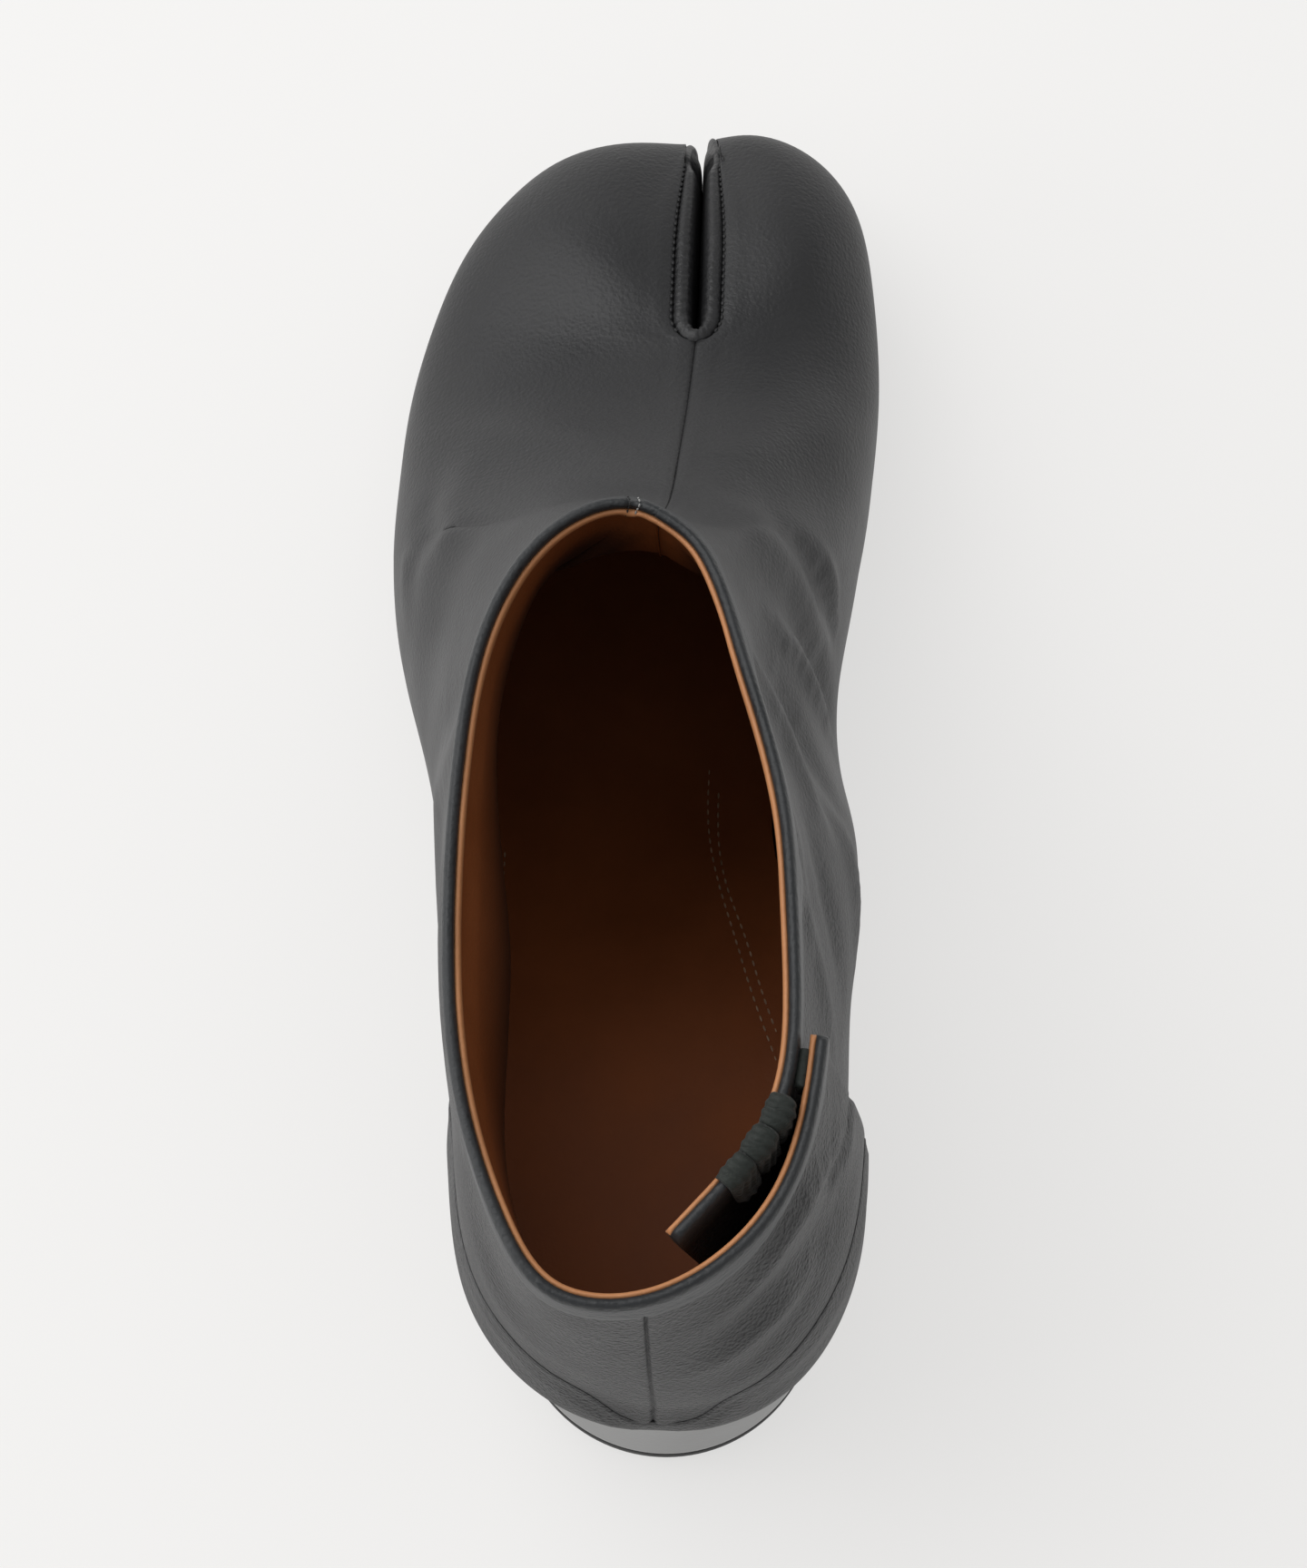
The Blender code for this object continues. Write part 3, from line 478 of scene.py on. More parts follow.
def strip_grid(wide, collar, side, stage, lift=None):
    """Outer face of a strip: LOW_ROWS up to the widest line and HIGH_ROWS above it."""
    feather, widest, top, outward = strip_lines(wide, collar, side, stage)
    if lift is not None:
        share = (lift / (widest[:, 2] - feather[:, 2]))[:, None]
        feather = feather + (widest - feather) * share * np.array(LIFT_LEAN)
    climb, arrive = top_directions(widest, top, collar, side, stage)
    up = np.array([0.0, 0.0, 1.0])
    drop = (widest - feather)[:, 2:3]
    start = unit(outward * FOOT_OUT + up)
    handles = feather + start * drop * FOOT_HANDLES[0], widest - up * drop * FOOT_HANDLES[1]
    foot = bezier(feather, *handles, widest, np.linspace(0.0, 1.0, LOW_ROWS + 1))
    rise = (top - widest)[:, 2:3]
    turned = wall_turn(stage)
    reach = np.linalg.norm((top - widest)[:, :2], axis=1, keepdims=True)
    span = np.linalg.norm(top - widest, axis=1, keepdims=True)
    run = unit(np.cross(outward, up))
    shift = run * np.sum((top - widest) * run, axis=1, keepdims=True)
    belly = BELLY_RISE[0] + (BELLY_RISE[1] - BELLY_RISE[0]) * turned
    handle = reach * TOP_REACH * (1.0 - turned) + span * TOP_SPAN * turned
    rib = (widest, widest + up * rise * belly + shift * BELLY_SHIFT, top - arrive * handle, top)
    end = cut_share(rib, side, stage)
    share = 1.0 - np.linspace(1.0, 0.0, HIGH_ROWS + 1) ** TOP_CROWDING
    body = bezier(*rib, end[:, None] * share)
    return np.concatenate([foot, body[:, 1:]], axis=1)


def grid_normals(grid, side):
    """Unit normals: the cross product of the two directions along the grid's lines."""
    return unit(side * np.cross(np.gradient(grid, axis=1), np.gradient(grid, axis=0)))


def from_top(grid):
    """Length along each rib from its top row down to every other row."""
    steps = np.linalg.norm(np.diff(grid, axis=1), axis=2)[:, ::-1]
    down = np.concatenate([np.zeros((len(grid), 1)), np.cumsum(steps, axis=1)], axis=1)
    return down[:, ::-1]


print("a rib has", LOW_ROWS + HIGH_ROWS + 1, "points")

# %% Stages and both strips
SEAM_REACH, SEAM_COLUMNS = 0.006, 13
STAGE_DIGITS = 5


def stages(split, seam, collar, seams=()):
    """Stages from 3 to 0 in three runs, with narrow columns on both sides of each seam."""
    bow = 1.0 - np.cos(np.linspace(math.pi / 2.0, 0.0, split + 1))
    runs = [2.0 + bow[:-1], np.linspace(2.0, 1.0, seam + 1)[:-1], np.linspace(1.0, 0.0, collar + 1)]
    narrow = np.linspace(-SEAM_REACH, SEAM_REACH, SEAM_COLUMNS)
    runs += [seam_stage + narrow for seam_stage in seams]
    return -np.unique(np.round(-np.concatenate(runs), STAGE_DIGITS))


BACK_SEAM = 0.242
OUTER_STAGES = stages(44, 64, 210, (BACK_SEAM,))
INNER_STAGES = stages(44, 64, 130)
UNDERLAP_SPARE = 0.0015
UNDERLAP_BEGIN = (0.010, 0.002)


def underlap_lift(stage):
    """Lift of the underlap's foot above the insole: none up to the flap, then the board."""
    y = strip_lines(INNER_WIDE, INNER_COLLAR, 1, stage)[1][:, 1]
    flap_y = strip_lines(OUTER_WIDE, OUTER_COLLAR, -1, np.array([0.0]))[1][0, 1]
    high = INSOLE_THICKNESS + 3.0 * CLEARANCE + UNDERLAP_SPARE
    return high * (1.0 - smooth(y, flap_y - UNDERLAP_BEGIN[0], flap_y - UNDERLAP_BEGIN[1]))


outer_grid = strip_grid(OUTER_WIDE, OUTER_COLLAR, -1, OUTER_STAGES)
inner_lift = underlap_lift(INNER_STAGES)
inner_grid = strip_grid(INNER_WIDE, INNER_COLLAR, 1, INNER_STAGES, inner_lift)
print("outer strip", outer_grid.shape[:2], "inner strip", inner_grid.shape[:2])

# %% [markdown]
# ## Folds of the leather
#
# The leather is soft and has been worn a little: it creases at the little toe and at the ball, and
# slack gathers on the inner side beside the shaft. Each fold is drawn with three places on its
# strip, given as a stage and a distance down from the top line in millimetres. Its section is a
# bell curve: up for a ridge, down for a trough, soft at both ends.

# %% Fold tables
OUTER_FOLDS = table(
    "s0 d0 s1 d1 s2 d2 width height",
    (1.30, 54, 1.05, 71, 0.95, 75, 5.5, 0.95),
    (1.17, 68, 1.02, 80, 0.92, 77, 5.5, -1.00),
    (1.08, 88, 0.97, 87, 0.90, 79, 4.0, 0.60),
    (1.12, 50, 0.95, 55, 0.86, 62, 9.0, -0.80),
    (0.76, 8, 0.74, 28, 0.70, 54, 4.5, 0.90),
    (0.81, 14, 0.79, 36, 0.75, 58, 5.5, -0.90),
    (0.72, 34, 0.64, 52, 0.56, 70, 8.0, -0.80),
    (0.66, 20, 0.58, 34, 0.50, 46, 7.0, 0.60),
    (0.43, 24, 0.36, 44, 0.31, 52, 7.0, 0.55),
    (0.19, 24, 0.10, 18, 0.02, 44, 4.2, 1.40),
    (0.20, 36, 0.12, 33, 0.05, 56, 6.0, -1.45),
    (0.16, 10, 0.11, 9, 0.06, 12, 4.0, -0.60),
    (0.21, 62, 0.15, 50, 0.10, 48, 4.5, -0.65),
    (0.22, 48, 0.17, 42, 0.13, 44, 3.0, 0.45),
    (0.04, 8, 0.03, 22, 0.02, 38, 3.5, 0.60),
    (0.00, 42, 0.04, 36, 0.09, 20, 2.4, -1.20),
)
INNER_FOLDS = table(
    "s0 d0 s1 d1 s2 d2 width height",
    (1.25, 21, 0.96, 46, 0.82, 80, 7.0, 1.30),
    (1.12, 38, 0.95, 58, 0.85, 79, 4.5, -1.60),
    (0.98, 62, 0.93, 71, 0.87, 78, 2.6, 0.95),
    (0.87, 32, 0.81, 52, 0.70, 72, 3.2, 1.75),
    (0.88, 44, 0.81, 62, 0.73, 78, 4.0, -1.65),
    (0.82, 4, 0.72, 22, 0.56, 36, 4.5, 1.65),
    (0.83, 20, 0.72, 40, 0.56, 50, 6.0, -1.95),
    (0.82, 9, 0.72, 28, 0.56, 42, 2.4, -0.70),
    (0.66, 44, 0.52, 52, 0.40, 64, 4.5, 1.00),
    (0.58, 22, 0.46, 32, 0.38, 47, 3.5, -0.90),
    (0.50, 4, 0.41, 21, 0.32, 41, 3.2, 0.75),
    (0.66, 8, 0.52, 12, 0.36, 16, 2.2, 0.30),
    (0.30, 20, 0.22, 36, 0.16, 60, 5.0, -0.70),
    (1.60, 26, 1.40, 34, 1.20, 40, 9.0, -0.40),
    (2.60, 14, 2.30, 17, 2.00, 18, 8.0, 0.30),
)
print("folds:", len(OUTER_FOLDS["s0"]), "outer and", len(INNER_FOLDS["s0"]), "inner")

# %% Relief
FOLD_POINTS, FOLD_FADE = 25, 0.7
SLACK_HEIGHT, SLACK_DOWN = 0.00020, (0.002, 0.015)
FLAT_FOOT = 0.6
SEAM_DEPTH, SEAM_WIDTH = 0.00045, 0.0004
BACK_SEAM_DEPTH, BACK_SEAM_WIDTH = 0.00060, 0.0011
PUFF_HEIGHT = 0.00018
SEAM_PUFF, BACK_PUFF = (0.0026, 0.0018), (0.006, 0.004)
SEAM_STAGES, BACK_SEAM_DOWN = (1.0, 1.05), (0.004, 0.008)


def place_on(grid, stage, down, at_stage, at_down):
    """Points of a grid at the given stages and distances down, read at the nearest lines."""
    column = np.abs(stage[:, None] - at_stage[None, :]).argmin(axis=0)
    row = np.abs(down[column] - at_down[:, None]).argmin(axis=1)
    return grid[column, row]


def fold_relief(grid, stage, down, folds, k):
    """Height of one fold: the greatest of bell curves round points on its line, which are
    faded towards both ends, so height * sin(pi t)^FOLD_FADE * exp(-(distance / width)^2)."""
    stops = np.linspace(0.0, 1.0, 3)
    marks = np.array([[folds["s%d" % i][k], folds["d%d" % i][k] * 1e-3] for i in range(3)])
    line = natural_spline(stops, marks, np.linspace(0.0, 1.0, FOLD_POINTS))
    points = place_on(grid, stage, down, line[:, 0], line[:, 1])
    apart = np.linalg.norm(grid[:, :, None, :] - points[None, None, :, :], axis=3)
    fade = np.sin(np.pi * (np.arange(len(points)) + 0.5) / len(points)) ** FOLD_FADE
    width = folds["width"][k] * 1e-3
    return folds["height"][k] * 1e-3 * (fade * bell(apart, width)).max(axis=2)


def slack(grid):
    """Slow unevenness of soft leather: a sum of long sine waves through space."""
    x, y, z = np.moveaxis(grid, 2, 0)
    waves = np.sin(95.0 * x + 61.0 * z + 1.3) * np.sin(74.0 * y - 40.0 * z)
    waves += 0.6 * np.sin(150.0 * y + 110.0 * x + 0.4) * np.sin(130.0 * z - 55.0 * x + 2.0)
    return SLACK_HEIGHT * waves


def seam_relief(stage, down):
    """Section across the front seam and the split's edge: a groove with a puffed side."""
    groove = -SEAM_DEPTH * bell(down, SEAM_WIDTH)
    puff = PUFF_HEIGHT * bell(down - SEAM_PUFF[0], SEAM_PUFF[1])
    return (groove + puff) * smooth(stage, *SEAM_STAGES)[:, None]


def back_seam_relief(stage, down):
    """Groove and puff down the back of the heel; both are placed and measured in stages."""
    apart = (stage - BACK_SEAM)[:, None]
    groove = -BACK_SEAM_DEPTH * bell(apart, BACK_SEAM_WIDTH)
    puff = PUFF_HEIGHT * bell(np.abs(apart) - BACK_PUFF[0], BACK_PUFF[1])
    return (groove + puff) * smooth(down, *BACK_SEAM_DOWN)


def skin(grid, side, stage, folds):
    """Grid moved along its normals by the seams, the folds and the slack."""
    down = from_top(grid)
    relief = slack(grid) * smooth(down, *SLACK_DOWN) + seam_relief(stage, down)
    for k in range(len(folds["s0"])):
        relief += fold_relief(grid, stage, down, folds, k)
    if side < 0:
        relief += back_seam_relief(stage, down)
    above = smooth(np.arange(grid.shape[1]) / LOW_ROWS, 0.0, FLAT_FOOT)[None, :]
    return grid + grid_normals(grid, side) * (relief * above)[:, :, None]


outer_skin = skin(outer_grid, -1, OUTER_STAGES, OUTER_FOLDS)
inner_skin = skin(inner_grid, 1, INNER_STAGES, INNER_FOLDS)
OUTER, INNER = (outer_skin, -1, OUTER_STAGES), (inner_skin, 1, INNER_STAGES)
moved = np.linalg.norm(outer_skin - outer_grid, axis=2).max()
print("folds move the outer strip by up to", round(moved * 1000, 2), "mm")

# %% [markdown]
# ## From grids to meshes
#
# A mesh is filled with whole arrays: points, then the corners of all faces, then where each
# face starts. A shell closes the space between two equal grids with faces round its rim, and a
# tube closes a row of rings.

# %% Mesh helpers


def grid_cells(index):
    """Four corners for every cell of a grid of numbered points."""
    cells = [index[:-1, :-1], index[1:, :-1], index[1:, 1:], index[:-1, 1:]]
    return np.stack([cell.ravel() for cell in cells], axis=1)


def ring_cells(index):
    """Four corners for every cell between numbered rings of points, each closed in itself."""
    after = np.roll(index, -1, axis=1)
    return np.stack([index[:-1], after[:-1], after[1:], index[1:]], axis=2).reshape(-1, 4)


def fill_mesh(name, points, *face_sets):
    """Mesh from an array of points and arrays of faces, each with its own corner count."""
    corners = np.concatenate([faces.ravel() for faces in face_sets]).astype(np.int32)
    sizes = np.concatenate([np.full(len(faces), faces.shape[1]) for faces in face_sets])
    mesh = bpy.data.meshes.new(name)
    mesh.vertices.add(len(points))
    mesh.vertices.foreach_set("co", np.asarray(points, np.float32).ravel())
    mesh.loops.add(len(corners))
    mesh.loops.foreach_set("vertex_index", corners)
    mesh.polygons.add(len(sizes))
    mesh.polygons.foreach_set("loop_start", (np.cumsum(sizes) - sizes).astype(np.int32))
    mesh.update(calc_edges=True)
    return mesh


def face_out(mesh, flat=0.0):
    """Merge doubles, join faces that lie flat to each other within an angle, if one is given,
    and turn all faces outwards; the mesh is a closed solid."""
    work = bmesh.new()
    work.from_mesh(mesh)
    bmesh.ops.remove_doubles(work, verts=work.verts, dist=1e-6)
    if flat:
        bmesh.ops.dissolve_limit(work, angle_limit=flat, verts=work.verts, edges=work.edges)
    bmesh.ops.recalc_face_normals(work, faces=work.faces)
    work.to_mesh(mesh)
    work.free()


def add_piece(name, mesh, slot, *materials):
    """Object at the origin that rides on the boot, with the given materials. The slot is not used.
    """
    mesh.shade_smooth()
    for material in materials:
        mesh.materials.append(material)
    piece = add_object(name, mesh)
    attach(piece, "root")
    print(name, len(mesh.polygons), "faces")
    return piece


def shell_mesh(name, inside, outside):
    """Closed solid between two equal grids; faces of the inside come first."""
    columns, rows = inside.shape[:2]
    count = columns * rows
    index = np.arange(count).reshape(columns, rows)
    faces = grid_cells(index)
    rim = np.concatenate([index[:, 0], index[-1, 1:], index[-2::-1, -1], index[0, -2:0:-1]])
    after = np.roll(rim, -1)
    edge = np.stack([rim, after, after + count, rim + count], axis=1)
    points = np.concatenate([inside.reshape(-1, 3), outside.reshape(-1, 3)])
    return fill_mesh(name, points, faces[:, ::-1], faces + count, edge)


def tube_mesh(name, rings):
    """Closed solid through a row of closed rings, with a flat cap at each end."""
    index = np.arange(rings.shape[0] * rings.shape[1]).reshape(rings.shape[:2])
    mesh = fill_mesh(name, rings.reshape(-1, 3), ring_cells(index), index[:1], index[-1:])
    face_out(mesh)
    return mesh


print("a shell of 3 x 3 points has", 2 * len(grid_cells(np.arange(9).reshape(3, 3))) + 8, "faces")

# %% [markdown]
# ## The lining
#
# The lining is a second layer of thin leather inside the outer one, sewn to it at the collar
# only. Under the collar it hangs slack, clear of the leather. Its surface follows the plain grid
# a wall's thickness further in, and moves from there towards the shaft's middle.

# %% Lining of the strips
LINING_SLACK = 0.0090
SLACK_DROP, SLACK_SPAN = 0.034, 0.022
SLACK_TOP = 0.012
SLACK_BEGIN = {-1: (0.20, 0.50), 1: (0.72, 0.96)}
SHAFT_MIDDLE = np.array([-COLLAR_LEAN, COLLAR_REAR + COLLAR_LENGTH * 0.5, 0.0])
SPLIT_THINNING, THIN_STAGES = 0.7, (1.9, 2.1)
EDGE_MATCH = 0.003


def lining_slack(grid, stage, begin):
    """Shift of the lining towards the shaft's middle: it hangs clear of the leather under the
    collar, by LINING_SLACK * exp(-((below - SLACK_DROP) / SLACK_SPAN)^2)."""
    below = collar_level(grid[:, :, 1]) - grid[:, :, 2]
    hang = bell(below - SLACK_DROP, SLACK_SPAN) * smooth(below, 0.0, SLACK_TOP)
    toward = unit((SHAFT_MIDDLE - grid) * np.array([1.0, 1.0, 0.0]))
    return toward * (LINING_SLACK * hang * smooth(stage, *begin)[:, None])[:, :, None]


def wall_mesh(name, grid, skin_grid, side, stage):
    """Shell between the folded skin and a lining that follows the plain grid, thin at the
    split, and meets the skin's own form along the top line."""
    thin = 1.0 - SPLIT_THINNING * smooth(stage, *THIN_STAGES)
    inside = grid - grid_normals(grid, side) * (WALL * thin)[:, None, None]
    inside = inside + lining_slack(grid, stage, SLACK_BEGIN[side])
    edge = bell(from_top(grid), EDGE_MATCH)[:, :, None]
    return shell_mesh(name, inside + (skin_grid - grid) * edge, skin_grid)


print("lining hangs clear by up to", LINING_SLACK * 1000, "mm")

# %% [markdown]
# ## Finishes
#
# Leather is never one flat colour. A group called grain gives the fine pebbling and the broad
# cloudiness that all leathers here share; each leather then has its own colour and sheen in its
# own Principled shader. Patterns read Object coordinates, in metres, so a scale of 1000 means
# cells of about one millimetre.

# %% Node helpers
GRAIN_DEPTH, THREAD_DEPTH = 0.0003, 0.0001
PEBBLE_SHARE, DUST_SHARE = 0.55, 0.35
DUST_SCALE, CLOUD_SCALE, FIBRE_SCALE = 2600.0, 45.0, 5200.0
CREASE_SCALE = (160.0, 700.0, 700.0)
GRAIN_CELLS, CREASE_WANDER = 1300.0, 0.8
NOISE_RANGE, THREAD_ROUGH = (0.3, 0.7), (0.5, 0.8)
COAT_ROUGH, SHEEN_ROUGH = 0.35, 0.4
HEEL_GRAIN = (0.010, 0.060)


def make_group(name, inputs, outputs):
    """Empty shader group with named number inputs and outputs."""
    group = bpy.data.node_groups.new(name, "ShaderNodeTree")
    for label, value in inputs:
        socket = group.interface.new_socket(label, in_out="INPUT", socket_type="NodeSocketFloat")
        socket.default_value = value
    for label in outputs:
        group.interface.new_socket(label, in_out="OUTPUT", socket_type="NodeSocketFloat")
    return group, group.nodes.new("NodeGroupInput"), group.nodes.new("NodeGroupOutput")


def set_inputs(tree, node, inputs):
    """Fill a node's inputs; each is given a number, a colour or another node's socket."""
    for key, value in inputs.items():
        if isinstance(value, bpy.types.NodeSocket):
            tree.links.new(value, node.inputs[key])
        else:
            node.inputs[key].default_value = value


def add_node(tree, kind, inputs=None, **settings):
    """Node with its settings and its inputs."""
    node = tree.nodes.new(kind)
    for name, value in settings.items():
        setattr(node, name, value)
    set_inputs(tree, node, inputs or {})
    return node


def compute(tree, operation, *values):
    """Socket of a Math node."""
    node = add_node(tree, "ShaderNodeMath", dict(enumerate(values)), operation=operation)
    return node.outputs[0]


def bump(tree, height, strength, distance):
    """Normal socket of a Bump node."""
    inputs = {"Height": height, "Strength": strength, "Distance": distance}
    return add_node(tree, "ShaderNodeBump", inputs).outputs["Normal"]


def remap(tree, value, low, high, to_low, to_high):
    """Socket that carries low..high over to to_low..to_high, held at the ends."""
    inputs = {"Value": value, "From Min": low, "From Max": high}
    inputs.update({"To Min": to_low, "To Max": to_high})
    return add_node(tree, "ShaderNodeMapRange", inputs).outputs["Result"]


def noise(tree, place, scale, detail, **more):
    """Value socket of a noise texture."""
    inputs = {"Vector": place, "Scale": scale, "Detail": detail, **more}
    return add_node(tree, "ShaderNodeTexNoise", inputs).outputs["Fac"]


def mix(tree, factor, first, second):
    """Colour socket that goes from the first to the second colour by a factor."""
    inputs = {"Factor": factor, "A": first, "B": second}
    return add_node(tree, "ShaderNodeMix", inputs, data_type="RGBA").outputs["Result"]


print("node helpers ready; groups so far:", len(bpy.data.node_groups))

# %% Grain shared by all leathers


def grain_group():
    """Height and tone of leather: small cells, finer dust, creases and slow clouds."""
    inputs = (("Cell Scale", GRAIN_CELLS), ("Wrinkle", 0.0))
    group, given, out = make_group("grain", inputs, ("Height", "Tone"))
    place = add_node(group, "ShaderNodeTexCoord").outputs["Object"]
    inputs = {"Vector": place, "Scale": given.outputs["Cell Scale"], "Randomness": 1.0}
    cells = add_node(group, "ShaderNodeTexVoronoi", inputs, feature="SMOOTH_F1")
    stretch = add_node(group, "ShaderNodeMapping", {"Vector": place, "Scale": CREASE_SCALE})
    lines = noise(group, stretch.outputs[0], 1.0, 2.0, Distortion=CREASE_WANDER)
    clouds = noise(group, place, CLOUD_SCALE, 4.0)
    pebble = compute(group, "MULTIPLY", cells.outputs["Distance"], PEBBLE_SHARE)
    dust = compute(group, "MULTIPLY", noise(group, place, DUST_SCALE, 3.0), DUST_SHARE)
    crease = compute(group, "MULTIPLY", lines, given.outputs["Wrinkle"])
    height = compute(group, "ADD", compute(group, "ADD", pebble, dust), crease)
    tone = remap(group, clouds, *NOISE_RANGE, 0.0, 1.0)
    set_inputs(group, out, {"Height": height, "Tone": tone})
    return group


GRAIN = grain_group()
print("grain group:", len(GRAIN.nodes), "nodes")

# %% Leather and thread


def new_material(name):
    """Material, its tree and its Principled shader."""
    material = bpy.data.materials.new(name)
    material.use_nodes = True
    return material, material.node_tree, material.node_tree.nodes["Principled BSDF"]


def leather(
    name, dark, light, rough, relief,
    cells=GRAIN_CELLS, wrinkle=0.0, coat=0.0, sheen=0.0, shine=0.4, heel=1.0, deep=None,
):
    """Principled leather: colour and roughness wander between two values with the tone. The grain
    grows coarser towards the heel by the factor heel. A deep colour, where given, is painted shade:
    it takes over as the mesh's depth attribute, the amount of painted shade, grows to one."""
    material, tree, shader = new_material(name)
    inputs = {"Cell Scale": cells, "Wrinkle": wrinkle}
    grain = add_node(tree, "ShaderNodeGroup", inputs, node_tree=GRAIN)
    tone = grain.outputs["Tone"]
    colour = mix(tree, tone, (*dark, 1), (*light, 1))
    # Painted shade: the depth attribute mixes the deep colour in further down inside the boot.
    if deep:
        depth = add_node(tree, "ShaderNodeAttribute", attribute_name="depth").outputs["Fac"]
        colour = mix(tree, depth, colour, (*deep, 1))
    place = add_node(tree, "ShaderNodeTexCoord").outputs["Object"]
    along = add_node(tree, "ShaderNodeSeparateXYZ", {"Vector": place}).outputs["Y"]
    coarse = remap(tree, along, *HEEL_GRAIN, heel, 1.0)
    height = compute(tree, "MULTIPLY", grain.outputs["Height"], coarse)
    look = {"Base Color": colour, "Roughness": remap(tree, tone, 0.0, 1.0, *rough)}
    look.update({"Normal": bump(tree, height, relief, GRAIN_DEPTH), "Specular IOR Level": shine})
    look.update({"Coat Weight": coat, "Coat Roughness": COAT_ROUGH})
    look.update({"Sheen Weight": sheen, "Sheen Roughness": SHEEN_ROUGH})
    set_inputs(tree, shader, look)
    return material


def thread(name, colour):
    """Sewing thread: a soft dull colour whose roughness and fine relief wander."""
    material, tree, shader = new_material(name)
    place = add_node(tree, "ShaderNodeTexCoord").outputs["Object"]
    fuzz = noise(tree, place, FIBRE_SCALE, 1.0)
    look = {"Base Color": (*colour, 1), "Roughness": remap(tree, fuzz, *NOISE_RANGE, *THREAD_ROUGH)}
    look["Normal"] = bump(tree, fuzz, 0.5, THREAD_DEPTH)
    set_inputs(tree, shader, look)
    return material


print("leather and thread ready; materials so far:", len(bpy.data.materials))

# %% [markdown]
# ## The boot's finishes
#
# The upper is a dull, finely grained charcoal leather, the covered heel a smoother one with a thin
# coat of polish. Lining and insole are tan and brown calf. The lining's lip along the collar is
# painted paler than the lining, as painted light on its lit top edge, and the lining's deep colour
# is painted shade further down inside the boot. The loops are folded tape, soft and wrinkled. Each
# finish gives its dark and light colour, its range of roughness and how strongly the grain stands
# out.

# %% Leathers, tape and threads
CHARCOAL = leather(
    "charcoal_leather", (0.017, 0.0172, 0.0185), (0.024, 0.024, 0.025), (0.44, 0.54), 0.75,
    heel=4.0,
)
ROLLED = leather(
    "rolled_edge_leather", (0.017, 0.019, 0.021), (0.027, 0.029, 0.031), (0.42, 0.55), 0.9,
    cells=1000.0, wrinkle=0.5,
)
PIPING = leather(
    "split_lining_leather", (0.015, 0.015, 0.016), (0.021, 0.021, 0.022), (0.40, 0.50), 0.7,
    cells=1400.0, wrinkle=0.6,
)
# The tan lining's deep colour is painted shade, mixed in further down inside the boot.
TAN = leather(
    "tan_lining", (0.22, 0.062, 0.015), (0.28, 0.084, 0.022), (0.52, 0.62), 0.35,
    cells=1500.0, deep=(0.030, 0.012, 0.006),
)
# The lip is the same tan lining painted paler, as painted light on its lit top edge.
LIP_TAN_PAINTED_LIGHT = leather("tan_lip", (0.44, 0.190, 0.080), (0.54, 0.240, 0.100), (0.50, 0.60), 0.5)
BROWN = leather(
    "brown_insole", (0.205, 0.057, 0.016), (0.255, 0.073, 0.021), (0.55, 0.65), 0.25,
    cells=1600.0, shine=0.2,
)
TAPE = leather(
    "folded_tape", (0.012, 0.015, 0.013), (0.032, 0.039, 0.033), (0.65, 0.85), 1.0,
    cells=900.0, wrinkle=1.0, sheen=0.1,
)
SOLE = leather(
    "sole_leather", (0.040, 0.028, 0.020), (0.060, 0.042, 0.030), (0.40, 0.52), 0.3,
    cells=1100.0,
)
HEEL = leather(
    "covered_heel", (0.050, 0.050, 0.050), (0.060, 0.059, 0.058), (0.32, 0.40), 0.15, coat=0.7
)
RUBBER = leather(
    "heel_rubber", (0.012, 0.012, 0.012), (0.020, 0.020, 0.020), (0.65, 0.8), 0.5, cells=1700.0
)
BLACK_THREAD = thread("black_thread", (0.012, 0.012, 0.013))
GREY_THREAD = thread("grey_thread", (0.28, 0.28, 0.27))
BROWN_THREAD = thread("brown_thread", (0.42, 0.28, 0.19))
print("materials:", len(bpy.data.materials))

# %% [markdown]
# ## The upper
#
# Two strips of leather make the upper: the outer one from the little toe round the heel to the
# flap, the inner one from the big toe to the underlap. Each is a closed shell, charcoal leather
# outside and tan lining inside, and the two meet in the seam down the instep. The lining hangs
# slack under the collar. A depth value at each point is painted shade: it darkens the lining
# further down inside the boot, where the boot's own shadow falls.

# %% Upper strips
LINING_FRONT = 1.8
SHADE_BEGIN = 0.003
FRONT_SHADE, FRONT_DOWN, FRONT_STAGES = 0.92, 0.024, (0.55, 0.95)
SIDE_SHADE, SIDE_DOWN = 0.85, 0.032


def lining_painted_shade(grid, stage):
    """Painted shade on the lining, from 0 to 1, standing in for the boot's shadow further down: it
    grows quickly under the front of the collar, where the toes' space begins, and slowly down the
    sides."""
    down = from_top(grid)
    front = smooth(down, SHADE_BEGIN, FRONT_DOWN) * smooth(stage, *FRONT_STAGES)[:, None]
    return np.maximum(front * FRONT_SHADE, SIDE_SHADE * smooth(down, SHADE_BEGIN, SIDE_DOWN))


def add_strip(name, grid, skin_grid, side, stage):
    """Shell of one strip: charcoal, with tan on its inner faces behind the toes."""
    mesh = wall_mesh(name, grid, skin_grid, side, stage)
    cells = grid.shape[1] - 1
    paint = np.zeros(len(mesh.polygons), dtype=np.int32)
    paint[: (len(stage) - 1) * cells] = np.repeat(stage[:-1] < LINING_FRONT, cells)
    piece = add_piece(name, mesh, "upper", CHARCOAL, TAN)
    mesh.polygons.foreach_set("material_index", paint)
    # The depth attribute is painted shade: it darkens the tan lining further down inside the boot.
    depth = np.tile(lining_painted_shade(grid, stage).ravel(), 2).astype(np.float32)
    mesh.attributes.new("depth", "FLOAT", "POINT").data.foreach_set("value", depth)
    if side > 0:
        mesh.flip_normals()
    return piece


